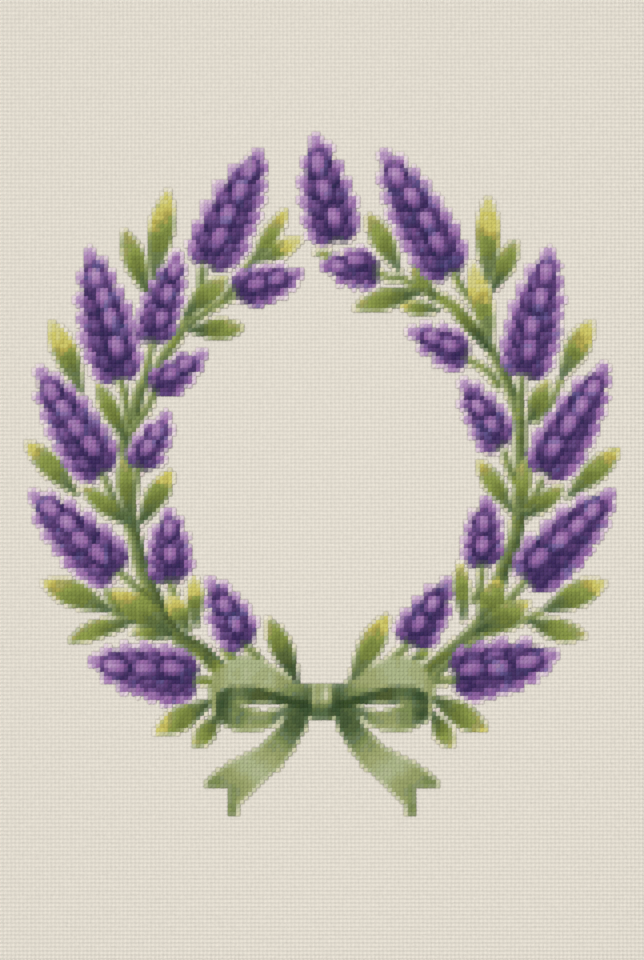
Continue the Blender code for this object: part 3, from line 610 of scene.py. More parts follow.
# %% Faces of the ribbon
RIBBON_GREENS = [
    (46, 68, 36), (60, 84, 50), (82, 104, 66), (104, 122, 82), (126, 138, 92), (146, 156, 98),
    (162, 172, 126), (170, 178, 140), (206, 202, 172),
]
OLIVE_BROWN = (88, 90, 42)
BROWN_AT, BROWN_SIZE, BROWN_SHARE = (15.5, 174), (3, 1.3), 0.8
RIBBON_PATCHES = 0.13
TAIL_TONES = [
    (0, 0.12), (0.12, 0.18), (0.22, 0.33), (0.34, 0.54), (0.45, 0.61), (0.55, 0.67), (0.68, 0.79),
    (0.8, 0.73), (0.88, 0.62), (1, 0.54),
]
UNDER_TONES = [
    (3, 0.1), (7, 0.22), (10, 0.34), (12, 0.4), (14, 0.56), (18, 0.56), (20, 0.42), (22, 0.44),
    (24, 0.24), (27, 0.16),
]
INSIDE_TONES = [
    (3, 0.05), (10, 0.07), (13, 0.12), (17, 0.16), (19, 0.3), (22, 0.3), (24, 0.17), (27, 0.14),
]
LOOP_TONES = [
    (3, 0.3), (5, 0.42), (8, 0.58), (12, 0.7), (18, 0.79), (23, 0.76), (26, 0.64), (28, 0.57),
]
KNOT_SHARES = [(175, 1), (177, 0.35), (178.6, 0.28), (180, 0.56)]
TAIL_START, TAIL_HEADING, TAIL_LENGTH = (6.5, 179), (0.68, 0.74), 24.4
OUTER_POINT, LOWER_POINT, POINT_TONE = (25.5, 194.5), (21.5, 196.5), 0.47
UNDER_EDGE_ROW, UNDER_EDGE_PALER = 181, 0.07
GLIMPSE_AT, GLIMPSE_SIZE, GLIMPSE_LIGHT = (20.5, 176), (2, 1.4), 0.28
INSIDE_RIM_ROW, INSIDE_RIM_PALER = 172.2, 0.12
GATHER_ROW, GATHER_ROWS, GATHER_END, GATHER_DARKER = 171, 2, 14, 0.14
KNOT_TONE, KNOT_FOLDS, KNOT_FOLD_LIGHT = 0.72, 2.2, 0.08
HIGHLIGHT_AT, HIGHLIGHT_SIZE, HIGHLIGHT = (1, 173.6), (0.7, 1.6), 0.3


def outlined(outline, sign):
    """The samples inside a closed outline: those from which a ray crosses it an odd number of times."""
    start = np.array(outline, float)
    start = np.stack([BOW_AXIS + sign * start[:, 0], start[:, 1]], axis=-1)
    end = np.roll(start, -1, axis=0)
    place, x, y = window(start, 1)
    odd = np.zeros(x.shape, bool)
    for (x0, y0), (x1, y1) in zip(start, end):
        if y0 != y1:
            odd ^= ((y0 > y) != (y1 > y)) & (x < (x1 - x0) * (y - y0) / (y1 - y0) + x0)
    return place, odd, (x - BOW_AXIS) * sign, y


def read_off(value, table):
    """The tone at a value, on straight lines between a table's pairs of value and tone."""
    return np.interp(value, *zip(*table))


def spot(distance, y, middle, size):
    """A soft spot: one at its middle, and falling off on all sides like a bell."""
    return np.exp(-(((distance - middle[0]) / size[0]) ** 2) - ((y - middle[1]) / size[1]) ** 2)


def ribbon_face(outline, sign, tone_of, seed):
    """A face of the ribbon on one side of the bow: tone_of gives its tone from distance and row."""
    place, cover, distance, y = outlined(outline, sign)
    patches = mottle(distance, y, 2.1, seed) - 0.5
    colour = shade(tone_of(distance, y) + RIBBON_PATCHES * patches, RIBBON_GREENS)
    if tone_of is inside_tone:
        brown = BROWN_SHARE * spot(distance, y, BROWN_AT, BROWN_SIZE)[..., None]
        colour = colour * (1 - brown) + np.array(OLIVE_BROWN) * brown
    return place, cover, colour


def tail_tone(distance, y):
    """Along the tail: dark under the knot, olive at the turn, palest below the middle, olive at the end."""
    way = (distance - TAIL_START[0]) * TAIL_HEADING[0] + (y - TAIL_START[1]) * TAIL_HEADING[1]
    way = way / TAIL_LENGTH
    lower = (y > LOWER_POINT[1]) & (distance > LOWER_POINT[0])
    points = (y > OUTER_POINT[1]) & ((distance > OUTER_POINT[0]) | lower)
    return np.where(points, POINT_TONE, read_off(way, TAIL_TONES))


def under_tone(distance, y):
    """The lower stretch: dark at both ends, olive in the middle, a little paler along its lower edge."""
    return read_off(distance, UNDER_TONES) + UNDER_EDGE_PALER * (y > UNDER_EDGE_ROW)


def inside_tone(distance, y):
    """The inside of the loop, in deep shade but for a glimpse of its turn."""
    tone = read_off(distance, INSIDE_TONES) + GLIMPSE_LIGHT * spot(distance, y, GLIMPSE_AT, GLIMPSE_SIZE)
    return tone + INSIDE_RIM_PALER * (y < INSIDE_RIM_ROW)


def loop_tone(distance, y):
    """The outer face over the top of the loop, palest at its crown and gathered into the knot."""
    gathered = np.clip((y - GATHER_ROW) / GATHER_ROWS, 0, 1) * (distance < GATHER_END)
    return read_off(distance, LOOP_TONES) - GATHER_DARKER * gathered


def knot_tone(distance, y):
    """Two stretches wound round the middle: a pale one above with a highlight, and a dark one below."""
    upper = KNOT_TONE + KNOT_FOLD_LIGHT * np.sin(KNOT_FOLDS * distance)
    upper = upper + HIGHLIGHT * spot(distance, y, HIGHLIGHT_AT, HIGHLIGHT_SIZE)
    return read_off(y, KNOT_SHARES) * upper


# %% [markdown]
# ## From the drawing to stitches
#
# The shapes are painted one over the other, from the stems at the back to the knot in front, and then
# the samples under each block of the cloth are averaged, together with a few round it, which gives the
# edges a soft step. A block is stitched as soon as a shape covers one of its sixteen samples, and it
# belongs to the shape that covers most of it. A stitch that ends up cut off from the rest of its shape
# goes to the neighbour that it touches most, and to a green one first, as a stitcher would rather carry
# on with the same needle.

# %% Paint the wreath
LEAST_COVER = 0.06
STEM_SEED, SMALL_LEAF_SEED, LEAF_SEED = 300, 200, 100
TAIL_SEED, LOOP_SEED, KNOT_SEED = 41, 43, 47
picture = np.tile(np.array(CLOTH_COLOUR, float), (ROWS * FINE, COLUMNS * FINE, 1))
chart = np.zeros((ROWS * FINE, COLUMNS * FINE), int)
names = []


def paint(name, place, cover, colour):
    """Lays a shape over what is there, under its name."""
    if name not in names:
        names.append(name)
    chart[place][cover] = names.index(name) + 1
    picture[place][cover] = colour[cover]


for name, stems, leaves in (
    ("stems_left", LEFT_STEMS, LEFT_SMALL_LEAVES),
    ("stems_right", RIGHT_STEMS, RIGHT_SMALL_LEAVES),
):
    for number, route in enumerate(stems):
        paint(name, *stem(*route, number + STEM_SEED))
    for number, leaf in enumerate(leaves):
        paint(name, *leaf_blade(*leaf, number + SMALL_LEAF_SEED))
for number, (name, blades) in enumerate(LEAVES.items()):
    for blade in blades:
        paint(name, *leaf_blade(*blade, number + LEAF_SEED))
for number, (name, head) in enumerate(HEADS.items()):
    paint(name, *flower_head(*head, AXIS_FLORETS[name], number))
for sign, side in ((-1, "left"), (1, "right")):
    paint(f"ribbon_tail_{side}", *ribbon_face(RIBBON_TAIL, sign, tail_tone, TAIL_SEED))
    for name, outline, tone_of in (
        ("ribbon_under", RIBBON_UNDER, under_tone),
        ("ribbon_inside", RIBBON_INSIDE, inside_tone),
        ("ribbon_loop", RIBBON_LOOP, loop_tone),
    ):
        curve = smooth(outline, closed=True)
        paint(f"{name}_{side}", *ribbon_face(curve, sign, tone_of, LOOP_SEED + sign))
knot = [(-KNOT_HALF_WIDTH, KNOT_ROWS[0]), (KNOT_HALF_WIDTH, KNOT_ROWS[0])]
knot += [(KNOT_HALF_WIDTH, KNOT_ROWS[1]), (-KNOT_HALF_WIDTH, KNOT_ROWS[1])]
paint("ribbon_knot", *ribbon_face(knot, 1, knot_tone, KNOT_SEED))
print(len(names), "patches painted")

# %% [markdown]
# Towards its outline every motif fades a little into the cloth, the flowers to a lilac white and the
# greens to a pale sage, more in some places than in others, and the ribbon least. How near a sample
# lies to the outline is read from how much of a small square round it is covered, and running sums
# give that for all samples at once. The bare samples beside a shape count as the same lilac white or
# sage, or beside the ribbon as a pale reed green, so that a stitch half on its outline does not turn
# grey.

# %% Fade the rims
LILAC_WHITE, PALE_SAGE, PALE_REED = (224, 214, 211), (222, 216, 200), (206, 203, 172)
RIM_SQUARE = 7
TRACE = 0.01
FLOWER_FADE, RIBBON_FADE, GREEN_FADE = 0.35, 0.1, 0.2
LEAST_UNEVEN, UNEVEN_RANGE = 0.3, 1.4
RIM_PATCH, RIM_SEED = 1.8, 90


def square_mean(values, size):
    """The mean over a square round each sample: differences of the running sums along both ways."""
    for _ in range(2):
        sums = np.cumsum(np.pad(values, ((size // 2 + 1, size // 2), (0, 0)), mode="edge"), axis=0)
        values = ((sums[size:] - sums[:-size]) / size).T
    return values


def marked(beginnings):
    """Where the shapes lie whose names begin in this way, or in one of these ways."""
    return np.array([False] + [name.startswith(beginnings) for name in names])[chart]


flowers, covered = marked(("head", "bud")), chart > 0
strength = np.select([flowers, marked("ribbon")], [FLOWER_FADE, RIBBON_FADE], GREEN_FADE)
down, right = np.indices(chart.shape) / FINE
uneven = LEAST_UNEVEN + UNEVEN_RANGE * mottle(right, down, RIM_PATCH, RIM_SEED)
fade = strength * uneven * np.clip(1 - square_mean(covered.astype(float), RIM_SQUARE), 0, 1)
fade = np.clip(fade, 0, 1)[..., None]
pale = np.where(flowers[..., None], LILAC_WHITE, PALE_SAGE)
picture = np.where(covered[..., None], picture * (1 - fade) + pale * fade, picture)
for shapes, tint in ((covered, PALE_SAGE), (marked("ribbon"), PALE_REED), (flowers, LILAC_WHITE)):
    picture[(square_mean(shapes.astype(float), RIM_SQUARE) > TRACE) & ~covered] = tint
print("samples that fade:", (covered & (fade[..., 0] > TRACE)).sum())

# %% [markdown]
# Groups of stitches that hold together are found by passing numbers between neighbours: every stitch
# starts with a number of its own and keeps taking the largest one from a neighbour of the same patch,
# until nothing changes. What shares a number then holds together.

# %% Count out the stitches
blocks = chart.reshape(ROWS, FINE, COLUMNS, FINE)
covers = np.stack([(blocks == number).mean((1, 3)) for number in range(1, len(names) + 1)])
owner = np.where(covers.sum(0) > LEAST_COVER, covers.argmax(0) + 1, 0)
NEIGHBOURS = ((-1, 0), (1, 0), (0, -1), (0, 1))
ROUNDS = 3
averages = sum(
    np.roll(picture, (down, right), (0, 1)).reshape(ROWS, FINE, COLUMNS, FINE, 3).mean((1, 3))
    for down, right in NEIGHBOURS
) / len(NEIGHBOURS)


def beside(grid, step):
    """The grid moved by one stitch, with nothing beyond its border."""
    down, right = step
    padded = np.pad(grid, 1)
    return padded[1 + down : 1 + down + grid.shape[0], 1 + right : 1 + right + grid.shape[1]]


def holding_together(owner):
    """A number for each stitch that it shares with the stitches it holds together with."""
    group = np.where(owner > 0, np.arange(1, owner.size + 1).reshape(owner.shape), 0)
    while True:
        passed = group
        for step in NEIGHBOURS:
            same = (beside(owner, step) == owner) & (owner > 0)
            passed = np.where(same, np.maximum(passed, beside(passed, step)), passed)
        if (passed == group).all():
            return group
        group = passed


def kept_whole(owner):
    """Gives each stray stitch to the patch beside it, to a green one where there is one."""
    owner = owner.copy()
    for number in range(1, len(names) + 1):
        group = holding_together(np.where(owner == number, owner, 0))
        tags, counts = np.unique(group[group > 0], return_counts=True)
        for tag in tags[np.argsort(-counts, kind="stable")][1:]:
            stray = group == tag
            around = np.concatenate([beside(owner, step)[stray] for step in NEIGHBOURS])
            around = around[(around > 0) & (around != number)]
            green = [other for other in around if names[other - 1].startswith(("leaf", "stem"))]
            choice = green or list(around)
            owner[stray] = max(choice, key=choice.count, default=0)
    return owner


for _ in range(ROUNDS):
    owner = kept_whole(owner)
print((owner > 0).sum(), "stitches")

# %% [markdown]
# ## Floss
#
# A stitcher works from a set of skeins, not from any colour at will. Two strands of floss go through
# the needle, though, and they need not be alike: with a strand from each of two skeins the stitch takes
# a colour between them, which is how fine shading is done with few skeins. Here the first strand is the
# skein nearest to the wanted colour, and the second the one that best makes up for what is left.

# %% The skeins
VIOLET_SKEINS = [
    (42, 30, 78), (53, 37, 86), (66, 48, 96), (80, 56, 108), (89, 60, 114), (98, 76, 130), (112, 74, 132),
    (116, 86, 144), (132, 92, 152), (146, 101, 160), (152, 116, 168), (163, 124, 175), (174, 142, 184),
    (190, 160, 194), (202, 178, 200), (214, 197, 208), (224, 214, 211),
]
MAUVE_SKEINS = [(116, 100, 130), (148, 130, 158), (184, 168, 184)]
BLUE_SKEINS = [(64, 60, 106), (84, 80, 134), (112, 106, 158)]
GREY_SKEINS = [(74, 80, 76), (112, 118, 104), (152, 156, 140), (188, 186, 170)]
GREEN_SKEINS = [
    (50, 70, 36), (58, 78, 41), (60, 84, 58), (77, 91, 49), (82, 104, 68), (92, 108, 60), (107, 120, 56),
    (104, 122, 90), (120, 134, 64), (124, 138, 106), (136, 150, 72), (144, 153, 99), (157, 151, 77),
    (154, 162, 110), (163, 173, 130), (172, 178, 142), (190, 192, 160),
]
GOLD_SKEINS = [(176, 164, 78), (197, 190, 100), (206, 202, 150), (208, 203, 173), (221, 215, 199)]
SKEINS = np.array(
    VIOLET_SKEINS + MAUVE_SKEINS + BLUE_SKEINS + GREY_SKEINS + GREEN_SKEINS + GOLD_SKEINS, float
)


def nearest(wanted):
    """The number of the skein nearest to each wanted colour."""
    return np.linalg.norm(wanted[..., None, :] - SKEINS, axis=-1).argmin(-1)


first = nearest(averages)
second = nearest(2 * averages - SKEINS[first])
floss = (SKEINS[first] + SKEINS[second]) / 2
used = np.union1d(first[owner > 0], second[owner > 0])
print(len(used), "of", len(SKEINS), "skeins used")

# %% [markdown]
# ## Bars of floss
#
# Every leg of a stitch is a short bar of floss that goes down through a hole at each end. It is made
# once as a formula for all legs at the same time: rings of points round the line from hole to hole,
# closed in a point at both ends. Three arrays do it, the places along the line, the half-widths there
# and how high the bar lies there. A bar on the face has only 24 or 32 triangles and one on the back
# 12, because there are more than thirty thousand of them.

# %% Bars from hole to hole
FULLNESS = (0.94, 1.06)
FLOSS_SECTION = np.array([(-1, -0.4), (-0.55, 1), (0.55, 1), (1, -0.4)])
WEDGE_SECTION = np.array([(-1, 0), (0, 1), (1, 0)])


def bars(start, end, places, half_widths, heights, thick, section, up=1, draw=None):
    """Points (bar, point, 3), triangles, and the place (along, across) of each point on its bar.

    A ring lies at each of places, shares of the way from start to end. Its points are the section's:
    a share of the half-width to the side, and a share of thick on top of the height there.
    """
    along = end - start
    across = np.stack([along[:, 1], -along[:, 0], np.zeros(len(along))], axis=-1)
    across /= np.linalg.norm(across, axis=-1, keepdims=True)
    places, half_widths, heights = map(np.array, (places, half_widths, heights))
    fuller = np.ones((len(start), 1)) if draw is None else draw.uniform(*FULLNESS, (len(start), 1))
    centre = start[:, None] + along[:, None] * places[:, None]
    side = across[:, None, None] * (fuller * half_widths)[:, :, None, None] * section[:, 0, None]
    lift = (heights[:, None] + thick * section[:, 1])[None] * fuller[:, :, None]
    rings = centre[:, :, None] + side
    rings[..., 2] += up * lift
    points = np.concatenate([start[:, None], rings.reshape(len(start), -1, 3), end[:, None]], axis=1)

    around, last = len(section), len(places) * len(section) + 1
    here, there = np.arange(around), np.roll(np.arange(around), -1)
    faces = [np.stack([np.zeros(around, int), 1 + there, 1 + here], axis=-1)]
    for ring in range(len(places) - 1):
        a, b = 1 + ring * around + here, 1 + ring * around + there
        faces += [np.stack([a, b, b + around], axis=-1), np.stack([a, b + around, a + around], axis=-1)]
    faces.append(np.stack([last - around + here, last - around + there, np.full(around, last)], axis=-1))
    faces = np.concatenate(faces)
    if up < 0:
        faces = faces[:, ::-1]
    triangles = (faces[None] + (last + 1) * np.arange(len(start))[:, None, None]).reshape(-1, 3)

    width = np.linspace(0, 1, around)
    places_on = np.concatenate([[(0, 0.5)], [(p, w) for p in places for w in width], [(1, 0.5)]])
    return points, triangles, np.tile(places_on, (len(start), 1, 1))


# %% [markdown]
# A mesh takes its points, corners and faces as plain arrays. Every piece of floss carries three
# things besides its shape: the colour of each stitch as an attribute, a map that follows the bar for
# the twist of the strands, and a flat map seen from above, in which a stitch always lies beside its
# neighbours.

# %% Make a mesh from arrays
def make_piece(name, points, triangles, material, maps=None, colours=None):
    """A mesh object from arrays. maps are name to a place for each point, colours one for each point."""
    mesh = bpy.data.meshes.new(name)
    mesh.vertices.add(len(points))
    mesh.vertices.foreach_set("co", points.astype(np.float32).ravel())
    mesh.loops.add(triangles.size)
    mesh.loops.foreach_set("vertex_index", triangles.astype(np.int32).ravel())
    mesh.polygons.add(len(triangles))
    mesh.polygons.foreach_set("loop_start", np.arange(0, triangles.size, 3, dtype=np.int32))
    mesh.polygons.foreach_set("use_smooth", np.ones(len(triangles), bool))
    low, high = points[:, :2].min(0), points[:, :2].max(0)
    flat = (points[:, :2] - low) / (high - low).max()
    for title, places in {"OFBake": flat, **(maps or {})}.items():
        layer = mesh.uv_layers.new(name=title)
        layer.data.foreach_set("uv", places[triangles.ravel()].astype(np.float32).ravel())
    if colours is not None:
        attribute = mesh.attributes.new("floss_colour", "FLOAT_COLOR", "POINT")
        attribute.data.foreach_set("color", colours.astype(np.float32).ravel())
    mesh.update(calc_edges=True)
    mesh.validate()
    mesh.materials.append(material)
    piece = bpy.data.objects.new(name, mesh)
    bpy.context.scene.collection.objects.link(piece)
    return piece


def to_linear(colour):
    """The linear colour that a shader takes, from eight-bit red, green and blue."""
    shares = np.array(colour) / 255
    return np.where(shares > 0.04045, ((shares + 0.055) / 1.055) ** 2.4, shares / 12.92)


# %% [markdown]
# A material is a small tree of shader nodes. Each helper here adds one node, feeds its inputs with
# plain values or with the outputs of other nodes, and gives back its own output, so that a material
# reads like a sum.

# %% Nodes and what feeds them
def feed(tree, socket, value):
    """Links a node's output to the socket, or sets the socket to a plain value."""
    if isinstance(value, bpy.types.NodeSocket):
        tree.links.new(value, socket)
    else:
        socket.default_value = value


def node(tree, kind, inputs=None, **settings):
    """Adds a shader node with its settings, and feeds its inputs, a value or an output for each name."""
    made = tree.nodes.new(kind)
    for title, value in settings.items():
        setattr(made, title, value)
    for title, value in (inputs or {}).items():
        feed(tree, made.inputs[title], value)
    return made


def combined(tree, operation, *numbers):
    """One number from up to three by this operation, each a node's output or a plain value."""
    made = node(tree, "ShaderNodeMath", operation=operation)
    for socket, number in zip(made.inputs, numbers):
        feed(tree, socket, number)
    return made.outputs[0]


def noise(tree, vector, scale, detail):
    """Random change from place to place, from 0 to 1."""
    inputs = {"Vector": vector, "Scale": scale, "Detail": detail}
    return node(tree, "ShaderNodeTexNoise", inputs).outputs["Fac"]


def to_range(tree, number, before, after):
    """The number moved from the range before to the range after, and kept inside it."""
    ranges = dict(zip(("From Min", "From Max", "To Min", "To Max"), (*before, *after)))
    return node(tree, "ShaderNodeMapRange", {"Value": number, **ranges}).outputs["Result"]


def darkened(tree, colour, share):
    """The colour multiplied by a share."""
    inputs = {"Factor": 1, "A": colour, "B": share}
    return node(tree, "ShaderNodeMix", inputs, data_type="RGBA", blend_type="MULTIPLY").outputs["Result"]


def new_material(name, settings):
    """A material with its output and its Principled shader, and these settings of the shader."""
    material = bpy.data.materials.new(name)
    material.use_nodes = True
    shader = material.node_tree.nodes["Principled BSDF"]
    for title, value in settings.items():
        shader.inputs[title].default_value = value
    return material, material.node_tree, shader


# %% [markdown]
# ## The look of cotton floss
#
# Stranded cotton has a soft lustre: mercerised fibres lie side by side and shine along their length
# without a hard highlight. The shader is rough with a little sheen. Its bump is a set of slanting
# grooves along each bar, for the two strands and their twist, and the colour changes a little from
# fibre to fibre.

# %% Floss material
STRANDS = 2
TWIST = 1.5
floss_material, tree, shader = new_material(
    "cotton_floss",
    {"Roughness": 0.55, "Sheen Weight": 0.1, "Sheen Roughness": 0.4, "Specular IOR Level": 0.25},
)
colour = node(tree, "ShaderNodeAttribute", attribute_name="floss_colour")
follow = node(tree, "ShaderNodeUVMap", uv_map="along_floss")
parts = node(tree, "ShaderNodeSeparateXYZ", {"Vector": follow.outputs["UV"]})
slant = combined(tree, "MULTIPLY", parts.outputs["X"], TWIST)
turns = combined(tree, "MULTIPLY_ADD", parts.outputs["Y"], STRANDS, slant)
groove = combined(tree, "COSINE", combined(tree, "MULTIPLY", turns, 2 * np.pi))
bump = node(tree, "ShaderNodeBump", {"Height": groove, "Strength": 0.35, "Distance": 0.00008})
feed(tree, shader.inputs["Normal"], bump.outputs["Normal"])
place = node(tree, "ShaderNodeTexCoord")
fibres = noise(tree, place.outputs["Object"], 1400, 2)
change = to_range(tree, fibres, (0.3, 0.7), (0.93, 1.07))
feed(tree, shader.inputs["Base Color"], darkened(tree, colour.outputs["Color"], change))
print("floss:", len(tree.nodes), "nodes")

# %% [markdown]
# ## Working the crosses
#
# Each cross has a lower leg from its upper left hole to its lower right one, and an upper leg from the
# lower left to the upper right that passes over it. All upper legs lean the same way, which is what
# makes good cross stitch look even. No hand is quite even, so the holes wander by a few hundredths of
# a stitch and the legs differ a little in fullness.

# %% Cross the floss over the cloth
SHINE = 0.02
DARKEST = 0.003
DYE_CHANGE = (0.98, 1.02)
HOLE_DEPTH = 0.00027
HAND = 0.03
LOWER_LEG = dict(
    places=(0.05, 0.5, 0.95),
    half_widths=np.array((0.28, 0.46, 0.28)) * PITCH,
    heights=(0.00017, 0.00019, 0.00017),
    thick=0.00009,
)
UPPER_LEG = dict(
    places=(0.05, 0.3, 0.7, 0.95),
    half_widths=np.array((0.27, 0.45, 0.45, 0.27)) * PITCH,
    heights=(0.00018, 0.00026, 0.00026, 0.00018),
    thick=0.0001,
)


def dyed(shades):
    """The floss's own linear colour, which is less the white that its shine adds."""
    return np.clip(to_linear(shades) - SHINE, DARKEST, 1)


def crosses(name, cells, shades, material, seed):
    """A cross over each cell, given as (row, column), in its shade. Gives the piece."""
    draw = np.random.default_rng(seed)
    row, column = cells[:, 0], cells[:, 1]
    points, triangles, along = [], [], []
    count = 0
    for (x0, y0), (x1, y1), leg in (((0, 0), (1, 1), LOWER_LEG), ((0, 1), (1, 0), UPPER_LEG)):
        wander = draw.uniform(-HAND, HAND, (4, len(cells)))
        depth = np.full(len(cells), FACE - HOLE_DEPTH)
        start = on_cloth(column + x0 + wander[0], row + y0 + wander[1], depth)
        end = on_cloth(column + x1 + wander[2], row + y1 + wander[3], depth)
        leg_points, leg_triangles, leg_along = bars(start, end, section=FLOSS_SECTION, draw=draw, **leg)
        points.append(leg_points.reshape(-1, 3))
        triangles.append(leg_triangles + count)
        along.append(leg_along.reshape(-1, 2))
        count += len(points[-1])
    linear = dyed(shades) * draw.uniform(*DYE_CHANGE, (len(cells), 1))
    linear = np.concatenate([linear, np.ones((len(cells), 1))], axis=-1)
    colours = np.concatenate([np.repeat(linear, len(leg) // len(cells), axis=0) for leg in points])
    return make_piece(
        name,
        np.concatenate(points),
        np.concatenate(triangles),
        material,
        {"along_floss": np.concatenate(along)},
        colours,
    )


for number, name in enumerate(names):
    cells = np.argwhere(owner == number + 1)
    patch = crosses(f"stitches_{name}", cells, floss[tuple(cells.T)], floss_material, number)
    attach(patch, "root")
    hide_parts(name)
print("crosses:", (owner > 0).sum())

# %% [markdown]
# ## The back of the work
#
# On the back, the floss runs from the end of one leg to the start of the next, which is straight down
# the side of a block. Rows of crosses therefore leave rows of short upright bars behind. They are the
# same bars as on the face, turned to look down, with a simpler section because there is one for every
# stitch.

# %% Upright bars on the back
SUNK = 0.0001
REVERSE_SEED = 77
REVERSE_BAR = dict(
    places=(0.2, 0.8),
    half_widths=(0.22 * PITCH, 0.22 * PITCH),
    heights=(0.00012, 0.00012),
    thick=0.00025,
)
cells = np.argwhere(owner > 0)
draw = np.random.default_rng(REVERSE_SEED)
wander = draw.uniform(-HAND, HAND, (4, len(cells)))
level = np.full(len(cells), CLOTH_THICKNESS + SUNK)
start = on_cloth(cells[:, 1] + wander[0], cells[:, 0] + wander[1], level)
end = on_cloth(cells[:, 1] + wander[2], cells[:, 0] + 1 + wander[3], level)
points, triangles, along = bars(start, end, section=WEDGE_SECTION, up=-1, draw=draw, **REVERSE_BAR)
linear = dyed(floss[tuple(cells.T)])
linear = np.concatenate([linear, np.ones((len(cells), 1))], axis=-1)
reverse = make_piece(
    "reverse_bars", points.reshape(-1, 3), triangles, floss_material,
    {"along_floss": along.reshape(-1, 2)}, np.repeat(linear, points.shape[1], axis=0),
)
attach(reverse, "root")
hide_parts("reverse_threads")
print("reverse:", len(triangles), "triangles")

# %% [markdown]
# ## The cloth
#
# Block weave stands up in a small cushion over each block and dips at the holes between them. The face
# is a grid with a point at each hole and one in the middle of each block, so four triangles make a
# cushion. Round its border the cloth rolls over and comes back underneath as the hem: a profile of
# (distance in from the edge, height) that is carried round the panel, with mitred corners. The rings
# of the hem need far fewer points than the face, so the two are joined by a strip that zips a fine row
# of points to a coarse one.

# %% Rows of points that zip together
def zipped(fine, fine_at, coarse, coarse_at):
    """Triangles between two rows of points, which go on along whichever row is behind.

    fine and coarse are the points' numbers, and fine_at and coarse_at how far along they lie.
    """
    order = np.argsort(np.concatenate([fine_at[1:], coarse_at[1:]]), kind="stable")
    on_fine = order < len(fine) - 1
    i = np.concatenate([[0], np.cumsum(on_fine)])
    j = np.concatenate([[0], np.cumsum(~on_fine)])
    third = np.where(on_fine, fine[i[1:]], coarse[j[1:]])
    return np.stack([fine[i[:-1]], coarse[j[:-1]], third], axis=-1)


# %% [markdown]
# The hem lies under the rim, so the cloth inside it sinks by a hair's breadth. The cushions are not
# all alike: each is a little higher or lower than the next, which keeps a large plain ground from
# looking printed.

# %% Face, rolled edge, hem and back in one sheet
HOLE_DIP = 0.00024
SINK, SINK_REACH = 0.00012, 0.002
CUSHION_CHANGE = (0.97, 1.01)
EDGE_INSET = CLOTH_THICKNESS
CUSHION_SEED = 5
across, down = COLUMNS + 2 * MARGIN_BLOCKS, ROWS + 2 * MARGIN_BLOCKS
draw = np.random.default_rng(CUSHION_SEED)


def rectangle(width_points, length_points, inset):
    """Places round a rectangle inset from the panel's edge, counter-clockwise from its lower left."""
    half = PANEL / 2 - inset
    x, y = half[0] * (2 * width_points - 1), half[1] * (2 * length_points - 1)
    right, top = np.full(len(y), half[0]), np.full(len(x), half[1])
    bottom_side = np.stack([x, -top], axis=-1)[:-1]
    right_side = np.stack([right, y], axis=-1)[:-1]
    top_side = np.stack([x[::-1], top], axis=-1)[:-1]
    left_side = np.stack([-right, y[::-1]], axis=-1)[:-1]
    return np.concatenate([bottom_side, right_side, top_side, left_side])


def ring_positions(width_points, length_points):
    """How far round a rectangle each of its points lies, with four sides of length one."""
    sides = width_points[:-1], 1 + length_points[:-1], 2 + width_points[:-1], 3 + length_points[:-1]
    return np.concatenate([*sides, [4]])


def round_border(number):
    """The numbers along the border of a grid, once round and back to the first corner."""
    sides = number[0, :-1], number[:-1, -1], number[-1, :0:-1], number[:0:-1, 0]
    return np.concatenate([*sides, number[0, :1]])


def face_grid():
    """Holes and cushions of the face, its triangles, and the holes round its border."""
    u, v = np.arange(across + 1) / across, np.arange(down + 1) / down
    half = PANEL / 2 - EDGE_INSET
    hole_x, hole_y = np.meshgrid(half[0] * (2 * u - 1), half[1] * (2 * v - 1))
    middle_x, middle_y = np.meshgrid(half[0] * (u[1:] + u[:-1] - 1), half[1] * (v[1:] + v[:-1] - 1))

    def level(x, y):
        inside = np.minimum(PANEL[0] / 2 - np.abs(x), PANEL[1] / 2 - np.abs(y)) - HEM_WIDTH
        return FACE - SINK * np.clip(inside / SINK_REACH + 0.5, 0, 1)

    hole_z = level(hole_x, hole_y) - HOLE_DIP
    hole_z[[0, -1]] = FACE
    hole_z[:, [0, -1]] = FACE
    middle_z = level(middle_x, middle_y) * draw.uniform(*CUSHION_CHANGE, middle_x.shape)
    holes = np.stack([hole_x, hole_y, hole_z], axis=-1).reshape(-1, 3)
    middles = np.stack([middle_x, middle_y, middle_z], axis=-1).reshape(-1, 3)
    number = np.arange(holes.shape[0]).reshape(down + 1, across + 1)
    middle = holes.shape[0] + np.arange(middles.shape[0]).reshape(down, across)
    corners = number[:-1, :-1], number[:-1, 1:], number[1:, 1:], number[1:, :-1]
    cushions = [
        np.stack([corners[k], corners[(k + 1) % 4], middle], axis=-1).reshape(-1, 3) for k in range(4)
    ]
    return np.concatenate([holes, middles]), np.concatenate(cushions), round_border(number)


points, triangles, border = face_grid()
print("face:", len(triangles), "triangles")

# %% Carry the hem's profile round the panel
FOLD_STEPS = 5
MITRE, MITRE_RISE = 0.0012, 0.00025
HEM_START, HEM_LIFT = 0.0016, 0.00012
CUT_EDGE = (
    (-0.0004, HEM_LIFT), (-0.0001, 0.0002), (0, 0.0003), (-0.0001, 0.0005), (0.0002, CLOTH_THICKNESS),
)
BACK_COLUMNS, BACK_ROWS = 57, 50


def hem_points_along(count, length):
    """Even places along a side from 0 to 1, with one more at each end where the mitre lies."""
    mitre = MITRE / length
    return np.concatenate([[0, mitre], np.arange(1, count) / count, [1 - mitre, 1]])


